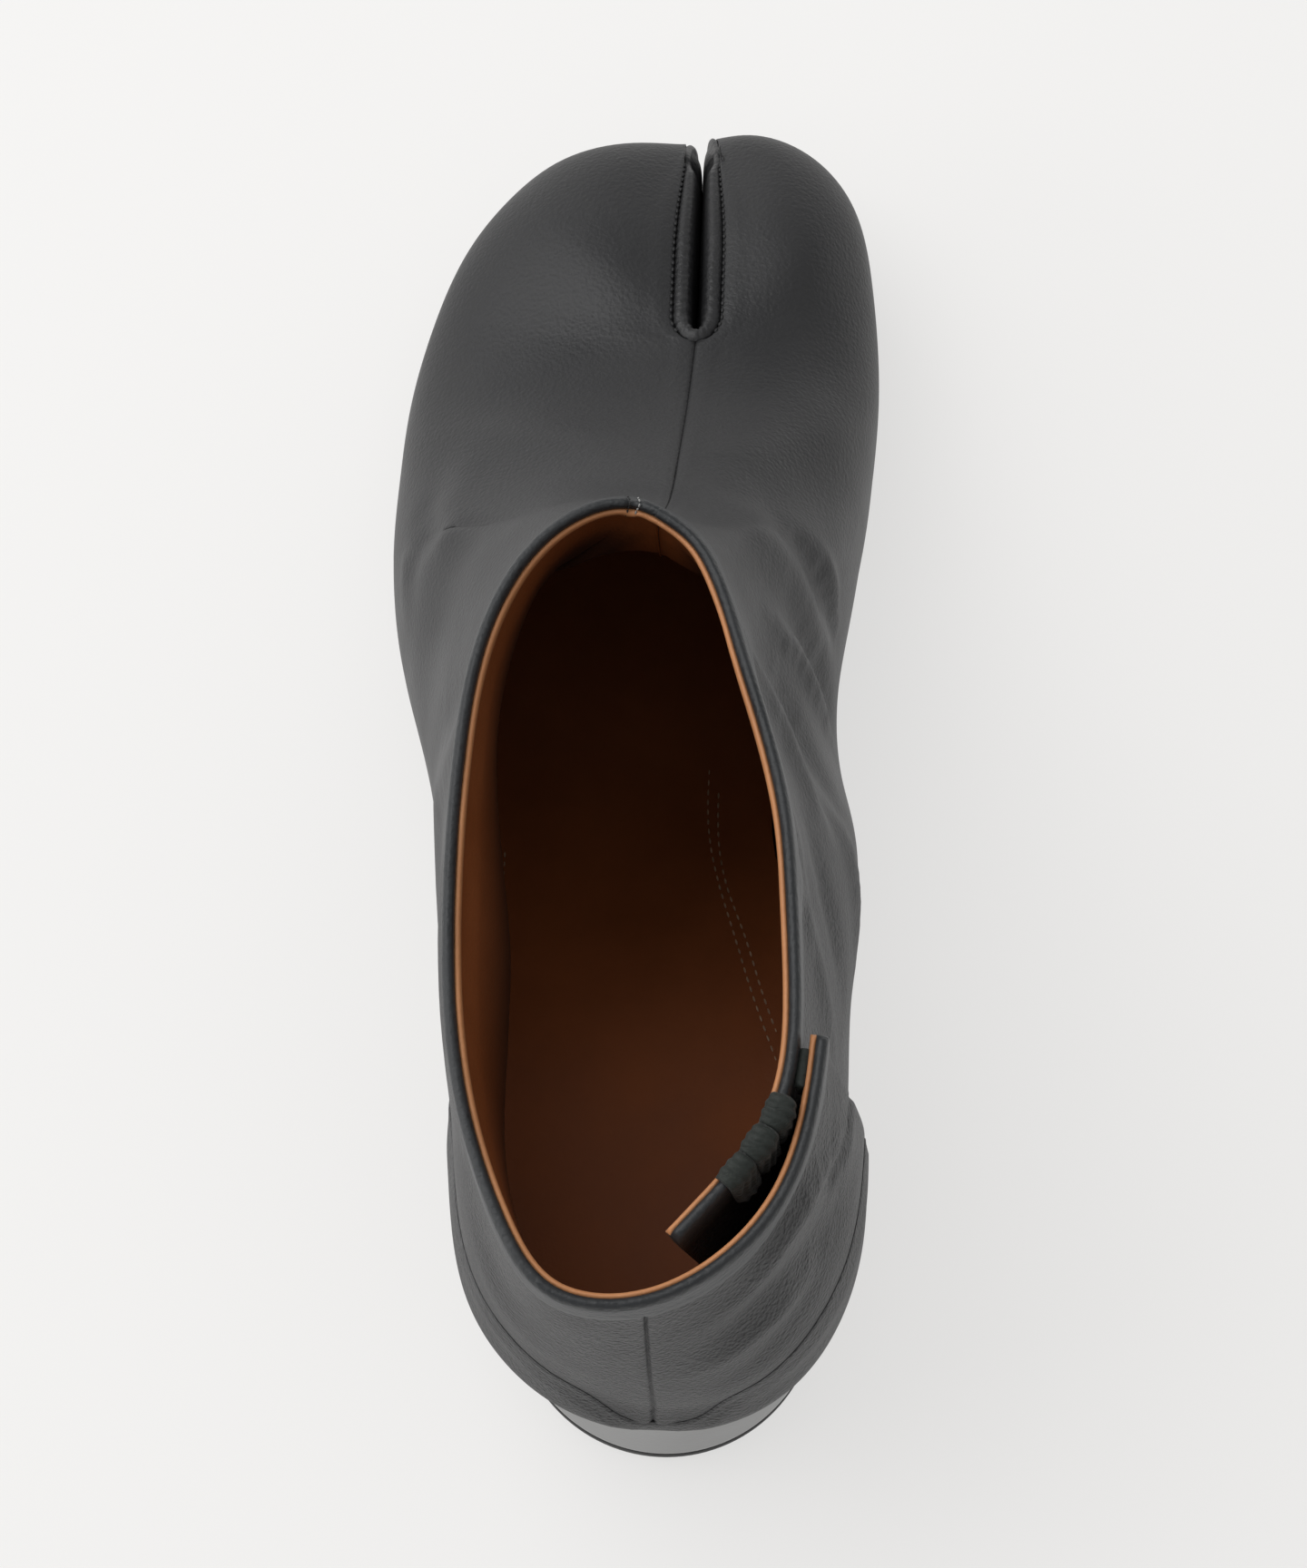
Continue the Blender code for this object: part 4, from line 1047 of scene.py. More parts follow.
outer_strip = add_strip("outer_strip", outer_grid, *OUTER)
inner_strip = add_strip("inner_strip", inner_grid, *INNER)
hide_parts("upper")
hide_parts("upper")

# %% [markdown]
# ## The rolled collar
#
# A strip of leather is sewn to the outside of the collar, turned over its edge and sewn down
# again inside. It is a section carried along the collar: the section is drawn in a frame of
# the wall's outward and upward directions, and its lower part follows the wall.

# %% Collar frame


def edge_frame(skin_grid, side, stage):
    """Collar part of a skin: ribs, unit normals and lengths down, for stages from 1 to 0."""
    keep = stage <= 1.0
    normal = grid_normals(skin_grid, side)
    return skin_grid[keep], normal[keep], from_top(skin_grid)[keep]


def join_collar():
    """Ribs of the whole collar, from the underlap's end over the front to the flap's tip."""
    pairs = zip(edge_frame(*INNER), edge_frame(*OUTER))
    return [np.concatenate([inner[::-1], outer[1:]]) for inner, outer in pairs]


collar_ribs, collar_normals, collar_down = join_collar()
collar_length = run_length(collar_ribs[:, -1])
join_at = collar_length[np.count_nonzero(INNER_STAGES <= 1.0) - 1]
JOIN_SHIFT = 0.0053
notch_at = join_at + JOIN_SHIFT
NOTCH_SPAN = 0.0011
JOIN_DIP = 0.5
JOIN_MIDDLE = -0.0008
PINCH_DOWN = 0.002
END_ROUND = 0.0016
COLLAR_COLUMNS = 560
print("collar edge", round(collar_length[-1] * 1000, 1), "mm long")


def over_edge(at, outward, upward):
    """Points in the collar's frame: upward above the edge, or that far down along the rib
    where it is negative, and outward from the wall's outer face. Both are columns by points."""
    ribs = resample(collar_ribs, collar_length, at)
    down = resample(collar_down, collar_length, at)
    aim = unit(resample(collar_normals[:, -3], collar_length, at))
    climb = unit(ribs[:, -1] - ribs[:, -4])
    base = read_ribs(ribs, -down, np.minimum(upward, 0.0))[0]
    high = np.clip(upward, 0.0, None)[:, :, None]
    return base + climb[:, None] * high + aim[:, None] * outward[:, :, None]


def uneven(at, reach, seed):
    """Hand-sewn unevenness along the collar: three sine waves of unlike lengths."""
    waves = np.sin(at * 210.0 + seed) + 0.7 * np.sin(at * 390.0 + 2.1 * seed)
    return reach * (waves + 0.4 * np.sin(at * 830.0 + 3.7 * seed))


# %% Rolled collar and tan lip
BINDING_SECTION = np.array(
    [
        (-0.3, -6.6), (0.15, -6.8), (0.42, -6.5), (0.46, -5.0), (0.50, -3.0), (0.55, -1.0),
        (0.58, 0.6), (0.45, 1.6), (0.12, 2.25), (-0.35, 2.50), (-0.85, 2.30), (-1.20, 1.80),
        (-1.35, 1.1), (-1.38, 0.2), (-1.3, -0.6), (-0.5, -0.8),
    ]
)
LIP_SECTION = np.array(
    [
        (-1.2, -0.4), (-1.28, 0.4), (-1.42, 0.85), (-1.70, 1.05), (-2.00, 0.95), (-2.22, 0.6),
        (-2.34, 0.0), (-2.40, -1.5), (-2.35, -3.4), (-2.1, -4.6), (-1.9, -3.0), (-1.5, -1.2),
    ]
)


def collar_band(name, section, slot, material, sway, seed, pinch):
    """Section, in millimetres, carried along the whole collar with a slight unevenness. At the
    front join it dips and is pinched towards its middle."""
    at = np.linspace(0.0, collar_length[-1], COLLAR_COLUMNS)
    outward, upward = (np.tile(part * 1e-3, (len(at), 1)) for part in section.T)
    wave = uneven(at, sway, seed)[:, None]
    notch = bell(at - notch_at, NOTCH_SPAN)[:, None]
    near_end = np.minimum(np.minimum(at, collar_length[-1] - at) / END_ROUND, 1.0)
    rounding = np.sqrt(np.clip(1.0 - (1.0 - near_end) ** 2, 0.0, 1.0))
    raised = (upward + wave) * (1.0 - JOIN_DIP * notch) * rounding[:, None]
    upward = np.where(upward > 0.0, raised, upward)
    pinched = 1.0 - pinch * notch * (upward > -PINCH_DOWN)
    rings = over_edge(at, JOIN_MIDDLE + (outward - JOIN_MIDDLE) * pinched, upward)
    return add_piece(name, tube_mesh(name, rings), slot, material)


binding = collar_band("rolled_collar", BINDING_SECTION, "collar_binding", ROLLED, 0.00006, 0.7, 0.4)
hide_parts("collar_binding")
# The tan lip carries the paler tan: painted light on the lining's top edge.
collar_band("tan_lip", LIP_SECTION, "upper", LIP_TAN_PAINTED_LIGHT, 0.00010, 2.4, -0.2)

# %% [markdown]
# ## The split between the toes
#
# The big toe has its own pocket. The slot between the pockets is lined with one strip of thin
# leather that is sewn to both edges, rolls over them and goes down to the sole. Pulled tight
# round the slot's end, it wrinkles across. At the front of the toes it opens into a small
# hollow, whose walls close quickly below.

# %% Hem of the split lining
FRONT_ROWS = 3
GAP_ROUND = 0.04


def calm(rows, reach=4):
    """Moving average along a row of points, with its ends held."""
    padded = np.concatenate([rows[:1].repeat(reach, axis=0), rows, rows[-1:].repeat(reach, axis=0)])
    kernel = np.full(2 * reach + 1, 1.0 / (2 * reach + 1))
    return np.stack([np.convolve(column, kernel, "valid") for column in padded.T], axis=1)


def gusset_hem(skin_grid, side, stage, share):
    """Front of a toe, and the hem of the strip on its side with the slot's own edge at the same
    places in plan: up the toe's front, then along the opening by shares."""
    front = skin_grid[0][::FRONT_ROWS]
    hem = np.concatenate([front, resample(skin_grid[:, -1], -stage, -2.0 - share)])
    deep = (SPLIT_WIDTH - SPLIT_GAP) / 2.0
    y = SPLIT_END + deep + share * (SPLIT_LENGTH - deep)
    half = split_half(share, SPLIT_GAP / 2.0, GAP_ROUND)
    slot = np.column_stack([split_middle(y) + side * half, y])
    gap = np.column_stack([split_middle(front[:, 1]) + side * SPLIT_GAP / 2.0, front[:, 1]])
    return front, hem, np.concatenate([gap, slot])


print("hem starts at", gusset_hem(*INNER, np.zeros(1))[1][0].round(4))

# %% Split lining
CALM_FADE = (0.5, 0.8)
LIP_BEGIN = (0.02, 0.15)
LIP_HANDLES = ((0.30, 1.3), (0.95, 1.2))
LIP_TURN = 0.85
HEM_SUNK = (0.0002, 0.0005)
TIP_LENGTH, TIP_DEPTH, TIP_BEGIN = 0.0060, 0.0120, 0.0030
TIP_OPENING = 0.0013
TOES_APART = 0.00001
FOOT_AHEAD = 0.0030
WALLS_CLOSE = 9
WRINKLE_HEIGHT, WRINKLE_SPAN, WRINKLE_ENDS = (0.00003, 0.00008), 0.020, 1.6


def gusset_half(strip, count=64, roll=14, fall=14, even=150):
    """One side of the strip: evenly spaced places along the hem, a rolled lip drawn as a cubic
    curve, and a wall down to the sole."""
    share = (1.0 - np.cos(np.linspace(math.pi / 2.0, 0.0, count)))[1:]
    front, hem, gap = gusset_hem(*strip, share)
    length = run_length(hem)
    run = np.linspace(0.0, 1.0, even)
    hem, gap = (resample(rows, length, run * length[-1]) for rows in (hem, gap))
    gap = gap + (calm(gap) - gap) * (1.0 - smooth(run, *CALM_FADE))[:, None]
    step = calm(np.gradient(hem, axis=0))
    normal = unit(np.column_stack([np.zeros(len(hem)), step[:, 2], -step[:, 1]]))
    reach = np.column_stack([gap - hem[:, :2], np.zeros(len(hem))])
    width = np.linalg.norm(reach, axis=1, keepdims=True)
    toward = reach / width
    behind = np.clip(front[-1, 1] - hem[:, 1], 0.0, None)[:, None]
    high = smooth(hem[:, 2:], front[-1, 2] - TIP_DEPTH, front[-1, 2] - TIP_BEGIN)
    tip = (1.0 - smooth(behind, 0.0, TIP_LENGTH)) * high
    width = width - TIP_OPENING * tip
    lip_rise = LIP_HEIGHT * smooth(run, *LIP_BEGIN)[:, None]
    hem = hem - normal * (HEM_SUNK[0] + HEM_SUNK[1] * tip)
    handles = [
        hem + toward * width * far + normal * lip_rise * tall * (1.0 - tip)
        for far, tall in LIP_HANDLES
    ]
    end = hem + toward * width - normal * width * LIP_TURN
    rolled = bezier(hem, *handles, end, np.linspace(0.0, 1.0, roll))
    foot_y = front[0, 1] - FOOT_AHEAD + run * (gap[-1, 1] - front[0, 1] + FOOT_AHEAD)
    foot_x = gap[:, 0] - strip[1] * (SPLIT_GAP / 2.0 - TOES_APART)
    foot = np.column_stack([foot_x, foot_y, sole_top(foot_y) + CLEARANCE])
    t = np.linspace(0.0, 1.0, fall)[None, 1:, None]
    left = np.concatenate([(1.0 - t) ** WALLS_CLOSE, 1.0 - t, 1.0 - t], axis=2)
    wall = rolled[:, -1:, :] * left + foot[:, None, :] * (1.0 - left)
    return np.concatenate([rolled, wall], axis=1)


def gusset_wrinkles(face):
    """Fine wrinkles across the strip: short waves along it, strongest round the slot's end."""
    run = run_length(face[:, 4])[:, None]
    depth = np.linspace(0.0, 1.0, face.shape[1])[None, :]
    waves = np.sin(run * 2900.0 + 2.0 * np.sin(run * 410.0)) + 0.6 * np.sin(run * 5100.0 + 1.0)
    middle = bell(run - run[-1] / 2.0, WRINKLE_SPAN)
    height = WRINKLE_HEIGHT[0] + WRINKLE_HEIGHT[1] * middle
    return waves * height * np.sin(np.pi * np.clip(depth * WRINKLE_ENDS, 0.0, 1.0))


gusset_face = np.concatenate([gusset_half(INNER), gusset_half(OUTER)[-2::-1]])
gusset_normal = unit(np.cross(np.gradient(gusset_face, axis=0), np.gradient(gusset_face, axis=1)))
gusset_face = gusset_face - gusset_normal * gusset_wrinkles(gusset_face)[:, :, None]
gusset_mesh = shell_mesh("split_lining", gusset_face, gusset_face + gusset_normal * GUSSET_WALL)
face_out(gusset_mesh)
split_lining = add_piece("split_lining", gusset_mesh, "toe_gusset", PIPING)
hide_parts("toe_gusset")

# %% [markdown]
# ## The heel counter
#
# A stiff panel is sewn round the heel. Its upper edge shows as one fine seam that dips at the
# back and dies into the sole on the outer side. It is cut out of the outer strip between the
# sole and the table's height, and stands proud by a leather's thickness.

# %% Counter panel
COUNTER_FIRST = 0.585
COUNTER_ROWS = 44
COUNTER_LOW, COUNTER_LEAST = 0.0002, 0.0035
COUNTER_UNDER = 0.0005
SEAM_SKIPPED = 0.010
BACK_DIP, BACK_DIP_SPAN, BACK_DIP_ASIDE = 0.31, 0.033, 0.006
PROUD_EDGE, PROUD_SKIVED, PROUD_FULL = 0.00012, 0.00028, 0.0007
SKIVED_DOWN, FULL_DOWN = (0.0, 0.0012), (0.001, 0.009)
ENDS_THIN, ENDS_SPAN = 0.6, 0.0015
COUNTER_SHARP = math.radians(50.0)


def counter_panel():
    """Panel whose thickness grows from a thin skived edge at the seam to its full value. It runs
    straight over the groove of the back seam, which ends above it."""
    stage = OUTER_STAGES[OUTER_STAGES <= COUNTER_FIRST]
    aside = OUTER_STAGES <= COUNTER_FIRST
    aside &= np.abs(OUTER_STAGES - BACK_SEAM) > SEAM_SKIPPED
    ribs = resample(outer_skin[aside], -OUTER_STAGES[aside], -stage)
    foot = ribs[:, 0, 2]
    height = natural_spline(-COUNTER["stage"], COUNTER["height"][:, None], -stage)[:, 0]
    off_back = (stage - BACK_SEAM + BACK_DIP_ASIDE) / BACK_DIP_SPAN
    high = foot + COUNTER_HEIGHT * (height - BACK_DIP * np.exp(-(off_back**4)))
    keep = high - foot > COUNTER_LEAST
    ribs, low, high = ribs[keep], (foot[keep] + COUNTER_LOW)[:, None], high[keep][:, None]
    height = low + (high - low) * np.linspace(0.0, 1.0, COUNTER_ROWS)[None, :]
    panel = read_ribs(ribs, ribs[:, :, 2], height)[0]
    normal = grid_normals(panel, -1)
    normal[:, 0, 2] = 0.0
    normal = unit(normal)
    down = from_top(panel)
    proud = PROUD_EDGE + PROUD_SKIVED * smooth(down, *SKIVED_DOWN)
    proud = proud + PROUD_FULL * smooth(down, *FULL_DOWN)
    ends = np.minimum(run_length(panel[:, 0]), run_length(panel[::-1, 0])[::-1])
    proud = proud * (ENDS_THIN + (1.0 - ENDS_THIN) * smooth(ends, 0.0, ENDS_SPAN)[:, None])
    face = panel + normal * proud[:, :, None]
    mesh = shell_mesh("heel_counter", panel - normal * COUNTER_UNDER, face)
    face_out(mesh)
    mesh.set_sharp_from_angle(angle=COUNTER_SHARP)
    return mesh


heel_counter = add_piece("heel_counter", counter_panel(), "counter_band", CHARCOAL)
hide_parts("counter_band")

# %% [markdown]
# ## Loops of the closure
#
# Three puffed tabs of folded tape sit side by side over the underlap's edge. Each starts at the
# tan lip, rolls over the collar and lies down the outside. A small folded tab hangs inside the
# flap's tip, where the fastening starts.

# %% Loops
TAB_LINE = np.array(
    [
        (-2.0, 1.5), (-1.5, 2.6), (-0.5, 3.0), (0.6, 2.5),
        (1.0, 0.8), (0.9, -2.0), (0.8, -6.0), (0.3, -10.0),
    ]
)
TAB_PLACES = (0.0246, 0.0191, 0.0136)
TAB_WIDTH, TAB_GAP = 0.0058, 0.0003
TAB_SUNK, TAB_THIN, TAB_PUFF, TAB_FOLD = 0.0002, 0.0001, 0.0011, 0.00016
TAB_ENDS, TAB_BELL = 0.10, (2.6, 0.6)


def tab_grids(place, seed, across=26, down=60):
    """Under and upper grids of one tab: a line over the collar, puffed as a root of a bell."""
    u, v = np.linspace(0.0, 1.0, across)[:, None], np.linspace(0.0, 1.0, down)
    knots = run_length(TAB_LINE * 1e-3)
    line = natural_spline(knots, TAB_LINE * 1e-3, v * knots[-1])
    side = unit(np.stack([-np.gradient(line[:, 1]), np.gradient(line[:, 0])], axis=1))
    side = -side if side[0, 0] > 0 else side
    lift = (1.0 - np.abs(2.0 * u - 1.0) ** TAB_BELL[0]) ** TAB_BELL[1]
    ends = smooth(v, 0.0, TAB_ENDS) * (1.0 - smooth(v, 1.0 - TAB_ENDS, 1.0))
    puff = TAB_THIN + TAB_PUFF * lift * ends * (0.85 + 0.25 * np.sin(5.0 * v + seed))
    fold = TAB_FOLD * np.sin(21.0 * u + 2.0 * np.sin(7.0 * v + seed) + seed)
    at = place + (u[:, 0] - 0.5) * (TAB_WIDTH - TAB_GAP)
    grids = []
    for raised in (np.full((across, down), -TAB_SUNK), puff + fold * lift * ends):
        outward, upward = (line[:, k] + side[:, k] * raised for k in (0, 1))
        grids.append(over_edge(at, outward, upward))
    return grids


def join_meshes(name, meshes):
    """One mesh with the closed shells of several."""
    work = bmesh.new()
    for mesh in meshes:
        work.from_mesh(mesh)
        bpy.data.meshes.remove(mesh)
    joined = bpy.data.meshes.new(name)
    work.to_mesh(joined)
    work.free()
    return joined


tabs = [shell_mesh("tab", *tab_grids(place, 1.7 * k)) for k, place in enumerate(TAB_PLACES)]
for tab in tabs:
    face_out(tab)
loops = add_piece("closure_loops", join_meshes("closure_loops", tabs), "loop_band", TAPE)
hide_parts("loop_band")

# %% Tab inside the flap's tip
TIP_SECTION = np.array(
    [
        (-2.0, -0.6), (-2.1, 0.5), (-2.7, 1.0), (-3.5, 0.9),
        (-3.9, 0.1), (-3.8, -4.0), (-3.0, -5.0), (-2.2, -3.0),
    ]
)
TIP_ROOT, TIP_NARROW, TIP_COLUMNS = 0.0020, 0.75, 24
TIP_FROM_END = np.array([0.0085, 0.0025])
tip_at = np.linspace(*(collar_length[-1] - TIP_FROM_END), TIP_COLUMNS)
tip_wave = np.sin(np.linspace(0.05, 0.95, TIP_COLUMNS) * math.pi)[:, None] ** 0.5
tip_puff = TIP_NARROW + (1.0 - TIP_NARROW) * tip_wave
tip_out = -TIP_ROOT + (TIP_SECTION[:, 0] * 1e-3 + TIP_ROOT)[None, :] * tip_puff
tip_up = np.tile(TIP_SECTION[:, 1] * 1e-3, (TIP_COLUMNS, 1))
tip_mesh = tube_mesh("tip_tab", over_edge(tip_at, tip_out, tip_up))
add_piece("tip_tab", tip_mesh, "loop_band", TAPE)

# %% [markdown]
# ## Sole and insole
#
# The outsole and the insole are cut from sheet leather. They keep their CAD form; a small bevel
# softens their edges so that they catch the light.

# %% Sole boards
FLAT_ANGLE = 0.03
BEVEL_FROM = math.radians(40.0)


def soften(node, name, material, width):
    """Copy of a CAD node with merged points, flat faces joined and its edges bevelled."""
    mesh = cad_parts[node].data.copy()
    face_out(mesh, FLAT_ANGLE)
    mesh.materials.clear()
    piece = add_piece(name, mesh, node, material)
    bevel = piece.modifiers.new("bevel", "BEVEL")
    bevel.width = width
    bevel.segments = 3
    bevel.limit_method = "ANGLE"
    bevel.angle_limit = BEVEL_FROM
    bevel.harden_normals = True
    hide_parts(node)


soften("outsole", "leather_outsole", SOLE, 0.0006)
soften("insole", "leather_insole", BROWN, 0.0004)

# %% [markdown]
# ## Cover of the insole
#
# A thin brown leather is glued over the insole's board and reaches to the lining all round. Its
# outline is read from the linings themselves, so no gap shows beside the board.

# %% Insole cover
COVER_FRONT = 1.6
COVER_LIFT = 0.0012
COVER_GAP, COVER_TURNED, COVER_THICKNESS = 0.0003, 0.0009, 0.00025
COVER_NEAR, COVER_BEND = 3, 0.93
COVER_RINGS = (1.0, 0.985, 0.96, 0.90, 0.8, 0.7, 0.6, 0.5, 0.4, 0.3, 0.2, 0.1, 0.02)


def wall_inside(grid, side, stage):
    """Points of a strip's plain lining a little above the insole's board, behind the toes."""
    inside = grid - grid_normals(grid, side) * WALL
    level = board_top(inside[:, :, 1]) + COVER_LIFT
    row = np.argmax(inside[:, :, 2] > level, axis=1)
    return inside[np.arange(len(grid)), row][stage < COVER_FRONT]


def cover_edge():
    """Outline of the cover: the linings' points in order of their turn round the middle, each
    drawn in to the nearest of its neighbours where the underlap passes behind the flap."""
    inner = wall_inside(inner_grid, 1, INNER_STAGES)
    edge = np.concatenate([inner, wall_inside(outer_grid, -1, OUTER_STAGES)])
    middle = edge.mean(axis=0)
    apart = (edge - middle)[:, :2]
    turn, reach = np.arctan2(apart[:, 0], apart[:, 1]), np.linalg.norm(apart, axis=1)
    order = np.argsort(turn)
    turn, reach = turn[order], reach[order]
    shifts = range(-COVER_NEAR, COVER_NEAR + 1)
    near = np.stack([np.roll(reach, k) for k in shifts]).min(axis=0)
    ring = np.column_stack([np.sin(turn) * near, np.cos(turn) * near, np.zeros(len(near))])
    return middle, middle + ring


def insole_cover():
    """Thin leather laid on the board and turned up a little where it meets the lining."""
    middle, edge = cover_edge()
    rings = []
    for share in COVER_RINGS:
        ring = middle + (edge - middle) * share
        turned = COVER_TURNED * smooth(share, COVER_BEND, 1.0)
        ring[:, 2] = board_top(ring[:, 1]) + COVER_GAP + turned
        rings.append(ring)
    rings = np.array(rings)
    under = rings[::-1] - np.array([0.0, 0.0, COVER_THICKNESS])
    return tube_mesh("insole_cover", np.concatenate([under, rings]))


add_piece("insole_cover", insole_cover(), "insole", BROWN)

# %% [markdown]
# ## Heel
#
# The heel is a stack of leather turned round and covered, with a rubber layer under it. It is
# turned here once more with enough sides to look smooth, and widens a little to the floor.

# %% Heel
HEEL_SIDES = 120
BLOCK_RIMS = [(0.0, 0.0006), (0.005, 0.0002), (0.02, 0.0)]
BLOCK_RIMS += [(share, 0.0) for share in np.linspace(0.06, 0.94, 16)]
BLOCK_RIMS += [(0.985, 0.0), (0.995, 0.0002), (1.0, 0.0006)]
LIFT_RIMS = [(0.0, 0.0006), (0.06, 0.0002), (0.14, 0.0), (0.5, 0.0)]
LIFT_RIMS += [(0.88, 0.0), (0.95, 0.0002), (1.0, 0.0006)]


def turned_heel(name, node, material, rims, taper):
    """Turned solid through rings at shares of its height, each drawn in by an inset. One with
    a taper has the sole's own slant on top."""
    low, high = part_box(node)
    angle = np.linspace(0.0, 2.0 * math.pi, HEEL_SIDES, endpoint=False)
    circle = np.column_stack([np.cos(angle), np.sin(angle), np.zeros(HEEL_SIDES)])
    rings = []
    for share, inset in rims:
        ring = circle * (HEEL_RADIUS - taper * share - inset)
        roof = sole_under(ring[:, 1]) - CLEARANCE if taper else np.full(HEEL_SIDES, high.z)
        ring[:, 2] = low.z + share * (roof - low.z)
        rings.append(ring)
    piece = add_piece(name, tube_mesh(name, np.array(rings)), node, material)
    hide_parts(node)


turned_heel("round_heel", "heel_block", HEEL, BLOCK_RIMS, HEEL_TAPER)
turned_heel("heel_lift", "heel_top_piece", RUBBER, LIFT_RIMS, 0.0)

# %% [markdown]
# ## Stitches
#
# A stitch is a short capsule half sunk into the leather. One capsule is made once and placed
# many times with whole arrays: along the row, across it and out of the leather. A kind of
# stitch is its pitch, the share of the pitch that shows, and its radius.

# %% Stitch builder
SPLIT_STITCH = (0.0017, 0.60, 0.00034)
SEAM_STITCH = (0.0022, 0.60, 0.00018)
INSOLE_STITCH = (0.0022, 0.60, 0.00020)
JOIN_STITCH = (0.0010, 0.65, 0.00018)
CAPSULE_END = 0.25
LINE_POINTS, BOARD_POINTS = 240, 160


def capsule(rings=5, sides=6):
    """Small capsule along X with length 2 and radius 1, as rings of points."""
    turn = np.linspace(-math.pi / 2.0, math.pi / 2.0, rings)[:, None]
    angle = np.linspace(0.0, 2.0 * math.pi, sides, endpoint=False)[None, :]
    radius = np.cos(turn)
    radius[[0, -1]] = CAPSULE_END
    along = np.repeat(np.sin(turn), sides, axis=1)
    return np.stack([along, radius * np.cos(angle), radius * np.sin(angle)], axis=2)


def stitch_row(name, path, outward, kind, slot, material):
    """Row of stitches of one kind along a path, on a surface that faces outward."""
    pitch, share, radius = kind
    run = run_length(path)
    at = np.arange(pitch / 2.0, run[-1], pitch)
    ahead, behind = resample(path, run, at + pitch / 4.0), resample(path, run, at - pitch / 4.0)
    along = unit(ahead - behind)
    across = unit(np.cross(unit(resample(outward, run, at)), along))
    one = capsule()
    local = one.reshape(-1, 3) * np.array([pitch * share / 2.0, radius, radius])
    axes = np.stack([along, across, np.cross(along, across)], axis=1)
    points = resample(path, run, at)[:, None] + local @ axes
    index = np.arange(len(local)).reshape(one.shape[:2])
    shift = (np.arange(len(at)) * len(local))[:, None, None]
    parts = (ring_cells(index), index[:1], index[-1:])
    sets = [(faces[None] + shift).reshape(-1, faces.shape[1]) for faces in parts]
    mesh = fill_mesh(name, points.reshape(-1, 3), *sets)
    face_out(mesh)
    return add_piece(name, mesh, slot, material)


def skin_line(skin_grid, side, stage, marks, rise):
    """Path on a strip through marks (stage, millimetres down), with its normals."""
    marks = np.array(marks, dtype=float)
    knots, shares = (np.linspace(0.0, 1.0, count) for count in (len(marks), LINE_POINTS))
    fine = resample(marks, knots, shares)
    at = fine[:, 0]
    down = resample(from_top(skin_grid), -stage, -at)
    ribs = resample(skin_grid, -stage, -at)
    normals = resample(grid_normals(skin_grid, side), -stage, -at)
    path, row = read_ribs(ribs, -down, -fine[:, 1:] * 1e-3)
    normal = unit(normals[np.arange(len(at)), row[:, 0]])
    return path[:, 0] + normal * rise, normal


print("one stitch has", capsule().shape[0] * capsule().shape[1], "points")

# %% Stitches of the split and the front seam
SPLIT_MARKS = [(2.03, 0.5), (2.5, 0.5), (2.97, 0.5)]
SEAM_MARKS = [(1.98, 0.25), (1.5, 0.25), (1.03, 0.25)]
STITCH_RISE = 0.0001
for label, strip in (("outer", OUTER), ("inner", INNER)):
    line = skin_line(*strip, SPLIT_MARKS, STITCH_RISE)
    stitch_row("split_stitches_" + label, *line, SPLIT_STITCH, "upper", BLACK_THREAD)
line = skin_line(*OUTER, SEAM_MARKS, -STITCH_RISE)
stitch_row("front_stitches", *line, SEAM_STITCH, "upper", BLACK_THREAD)

# %% [markdown]
# ## Stitches on the insole and at the collar
#
# Two rows of pale stitches run side by side on the insole's inner half and one on its outer
# side. At the front of the collar a dark and a grey row of stitches hold the roll's join.

# %% Stitches on the insole
COVER_TOP = 0.00035
BOARD_ROWS = {
    "first": [(8.4, 102.0), (8.1, 89.0), (9.6, 78.0), (12.7, 65.0), (15.4, 54.0), (19.9, 39.0)],
    "second": [(10.1, 97.0), (10.0, 86.0), (11.4, 76.0), (14.6, 65.0), (17.3, 54.0), (21.6, 40.0)],
    "third": [(-30.4, 84.0), (-30.5, 72.0), (-30.0, 56.0), (-30.1, 41.0)],
}


def board_line(marks):
    """Path on the insole's cover through marks (x, y) in millimetres."""
    marks = np.array(marks, dtype=float) * 1e-3
    run = run_length(marks)
    fine = natural_spline(run, marks, np.linspace(0.0, run[-1], BOARD_POINTS))
    path = np.column_stack([fine, board_top(fine[:, 1]) + COVER_TOP])
    return path, np.tile([0.0, 0.0, 1.0], (len(path), 1))


for label, marks in BOARD_ROWS.items():
    name = "insole_stitches_" + label
    stitch_row(name, *board_line(marks), INSOLE_STITCH, "insole", BROWN_THREAD)

# %% Stitches at the collar
OVER_COLLAR = np.array(
    [
        (0.60, 0.4), (0.50, 1.4), (0.10, 2.1), (-0.5, 2.3),
        (-1.1, 1.7), (-1.5, 0.9), (-2.0, 0.7), (-2.4, 0.0),
    ]
)
OUT_OF_ROLL = (0.0, -0.3, 1.0)


def over_collar(shift):
    """Path over the rolled collar beside the notch at its front."""
    at = np.full(len(OVER_COLLAR), notch_at + shift)
    column = np.arange(len(OVER_COLLAR))
    points = over_edge(at, *[np.tile(part * 1e-3, (len(at), 1)) for part in OVER_COLLAR.T])
    return points[column, column], np.tile(OUT_OF_ROLL, (len(at), 1))


for label, shift, material in (("dark", 0.0009, BLACK_THREAD), ("grey", -0.0007, GREY_THREAD)):
    name = "join_stitches_" + label
    stitch_row(name, *over_collar(shift), JOIN_STITCH, "collar_binding", material)

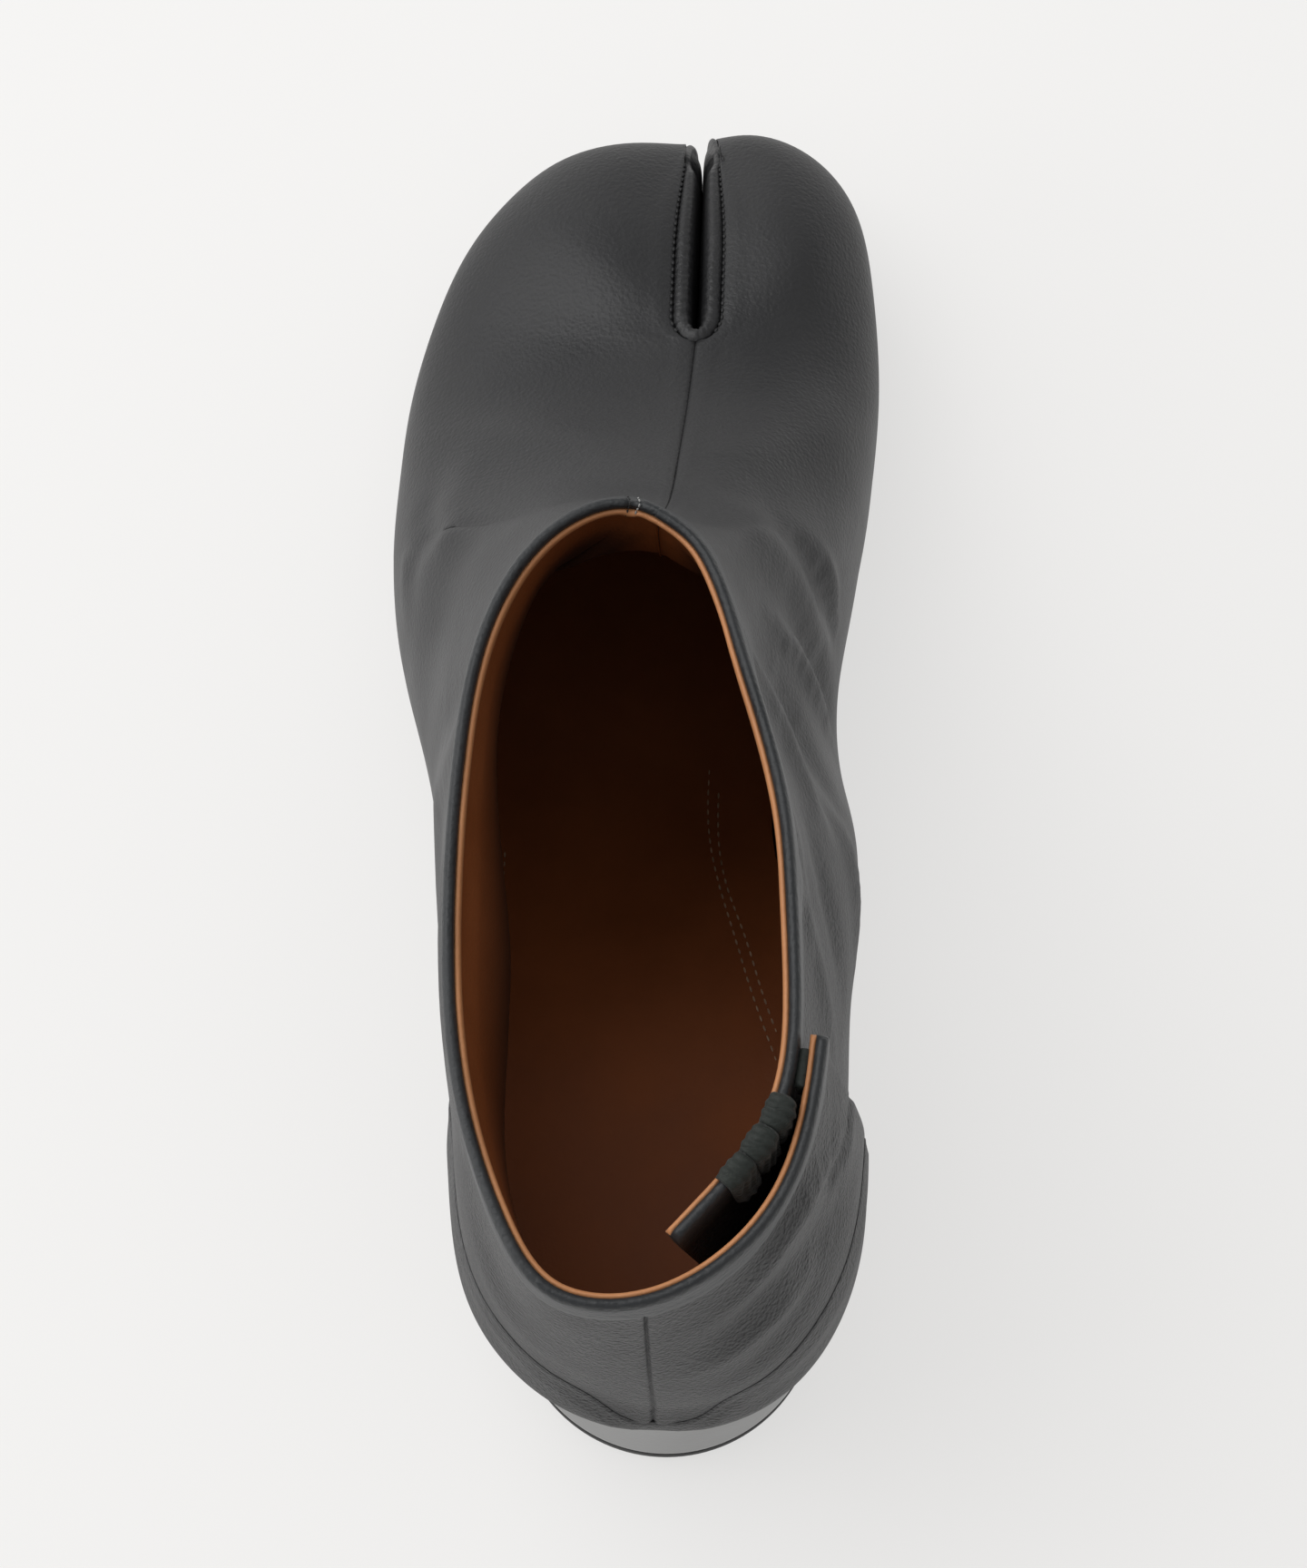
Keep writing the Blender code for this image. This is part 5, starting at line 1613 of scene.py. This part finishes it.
# %% [markdown]
# ## Floor and light
#
# A pale floor and a pale world give the plain studio look. One large soft lamp stands on the
# left in front, a low one on the left lights the side, and a weak one hangs above, so that a
# faint soft shadow falls to the right.

# %% Floor, lamps and world
FLOOR_REACH = 40
FLOOR_LOOK = {
    "Base Color": (0.29, 0.285, 0.28, 1),
    "Emission Color": (1.0, 0.995, 0.985, 1),
    "Emission Strength": 0.62,
    "Roughness": 0.9,
    "Specular IOR Level": 0.1,
}
LAMP_TARGET = Vector((0.0, 0.1, 0.05))
LAMPS = (
    ("key_lamp", (-0.9, 0.75, 1.3), 17.0, 1.5),
    ("side_lamp", (-1.3, -0.1, 0.45), 5.0, 0.8),
    ("top_lamp", (0.1, 0.3, 1.6), 3.0, 1.2),
)
WORLD_LOOK = {"Color": (1.0, 1.0, 1.0, 1), "Strength": 0.42}


def add_floor():
    """Flat square under the boot, far larger than the view."""
    mesh = bpy.data.meshes.new("floor")
    signs = ((-1, -1), (1, -1), (1, 1), (-1, 1))
    corners = [(x * FLOOR_REACH, y * FLOOR_REACH, 0) for x, y in signs]
    mesh.from_pydata(corners, [], [(0, 1, 2, 3)])
    floor = add_object("floor", mesh)
    material, tree, shader = new_material("pale_floor")
    set_inputs(tree, shader, FLOOR_LOOK)
    mesh.materials.append(material)


def add_lamp(name, place, power, size):
    """Square area lamp aimed at the boot."""
    data = bpy.data.lights.new(name, "AREA")
    data.energy = power
    data.size = size
    lamp = add_object(name, data)
    lamp.location = place
    lamp.rotation_euler = (LAMP_TARGET - Vector(place)).to_track_quat("-Z", "Y").to_euler()


add_floor()
for lamp in LAMPS:
    add_lamp(*lamp)
world = bpy.data.worlds.new("pale_world")
world.use_nodes = True
set_inputs(world.node_tree, world.node_tree.nodes["Background"], WORLD_LOOK)
bpy.context.scene.world = world
bpy.context.scene.view_settings.view_transform = "Standard"
print("lamps:", [lamp[0] for lamp in LAMPS])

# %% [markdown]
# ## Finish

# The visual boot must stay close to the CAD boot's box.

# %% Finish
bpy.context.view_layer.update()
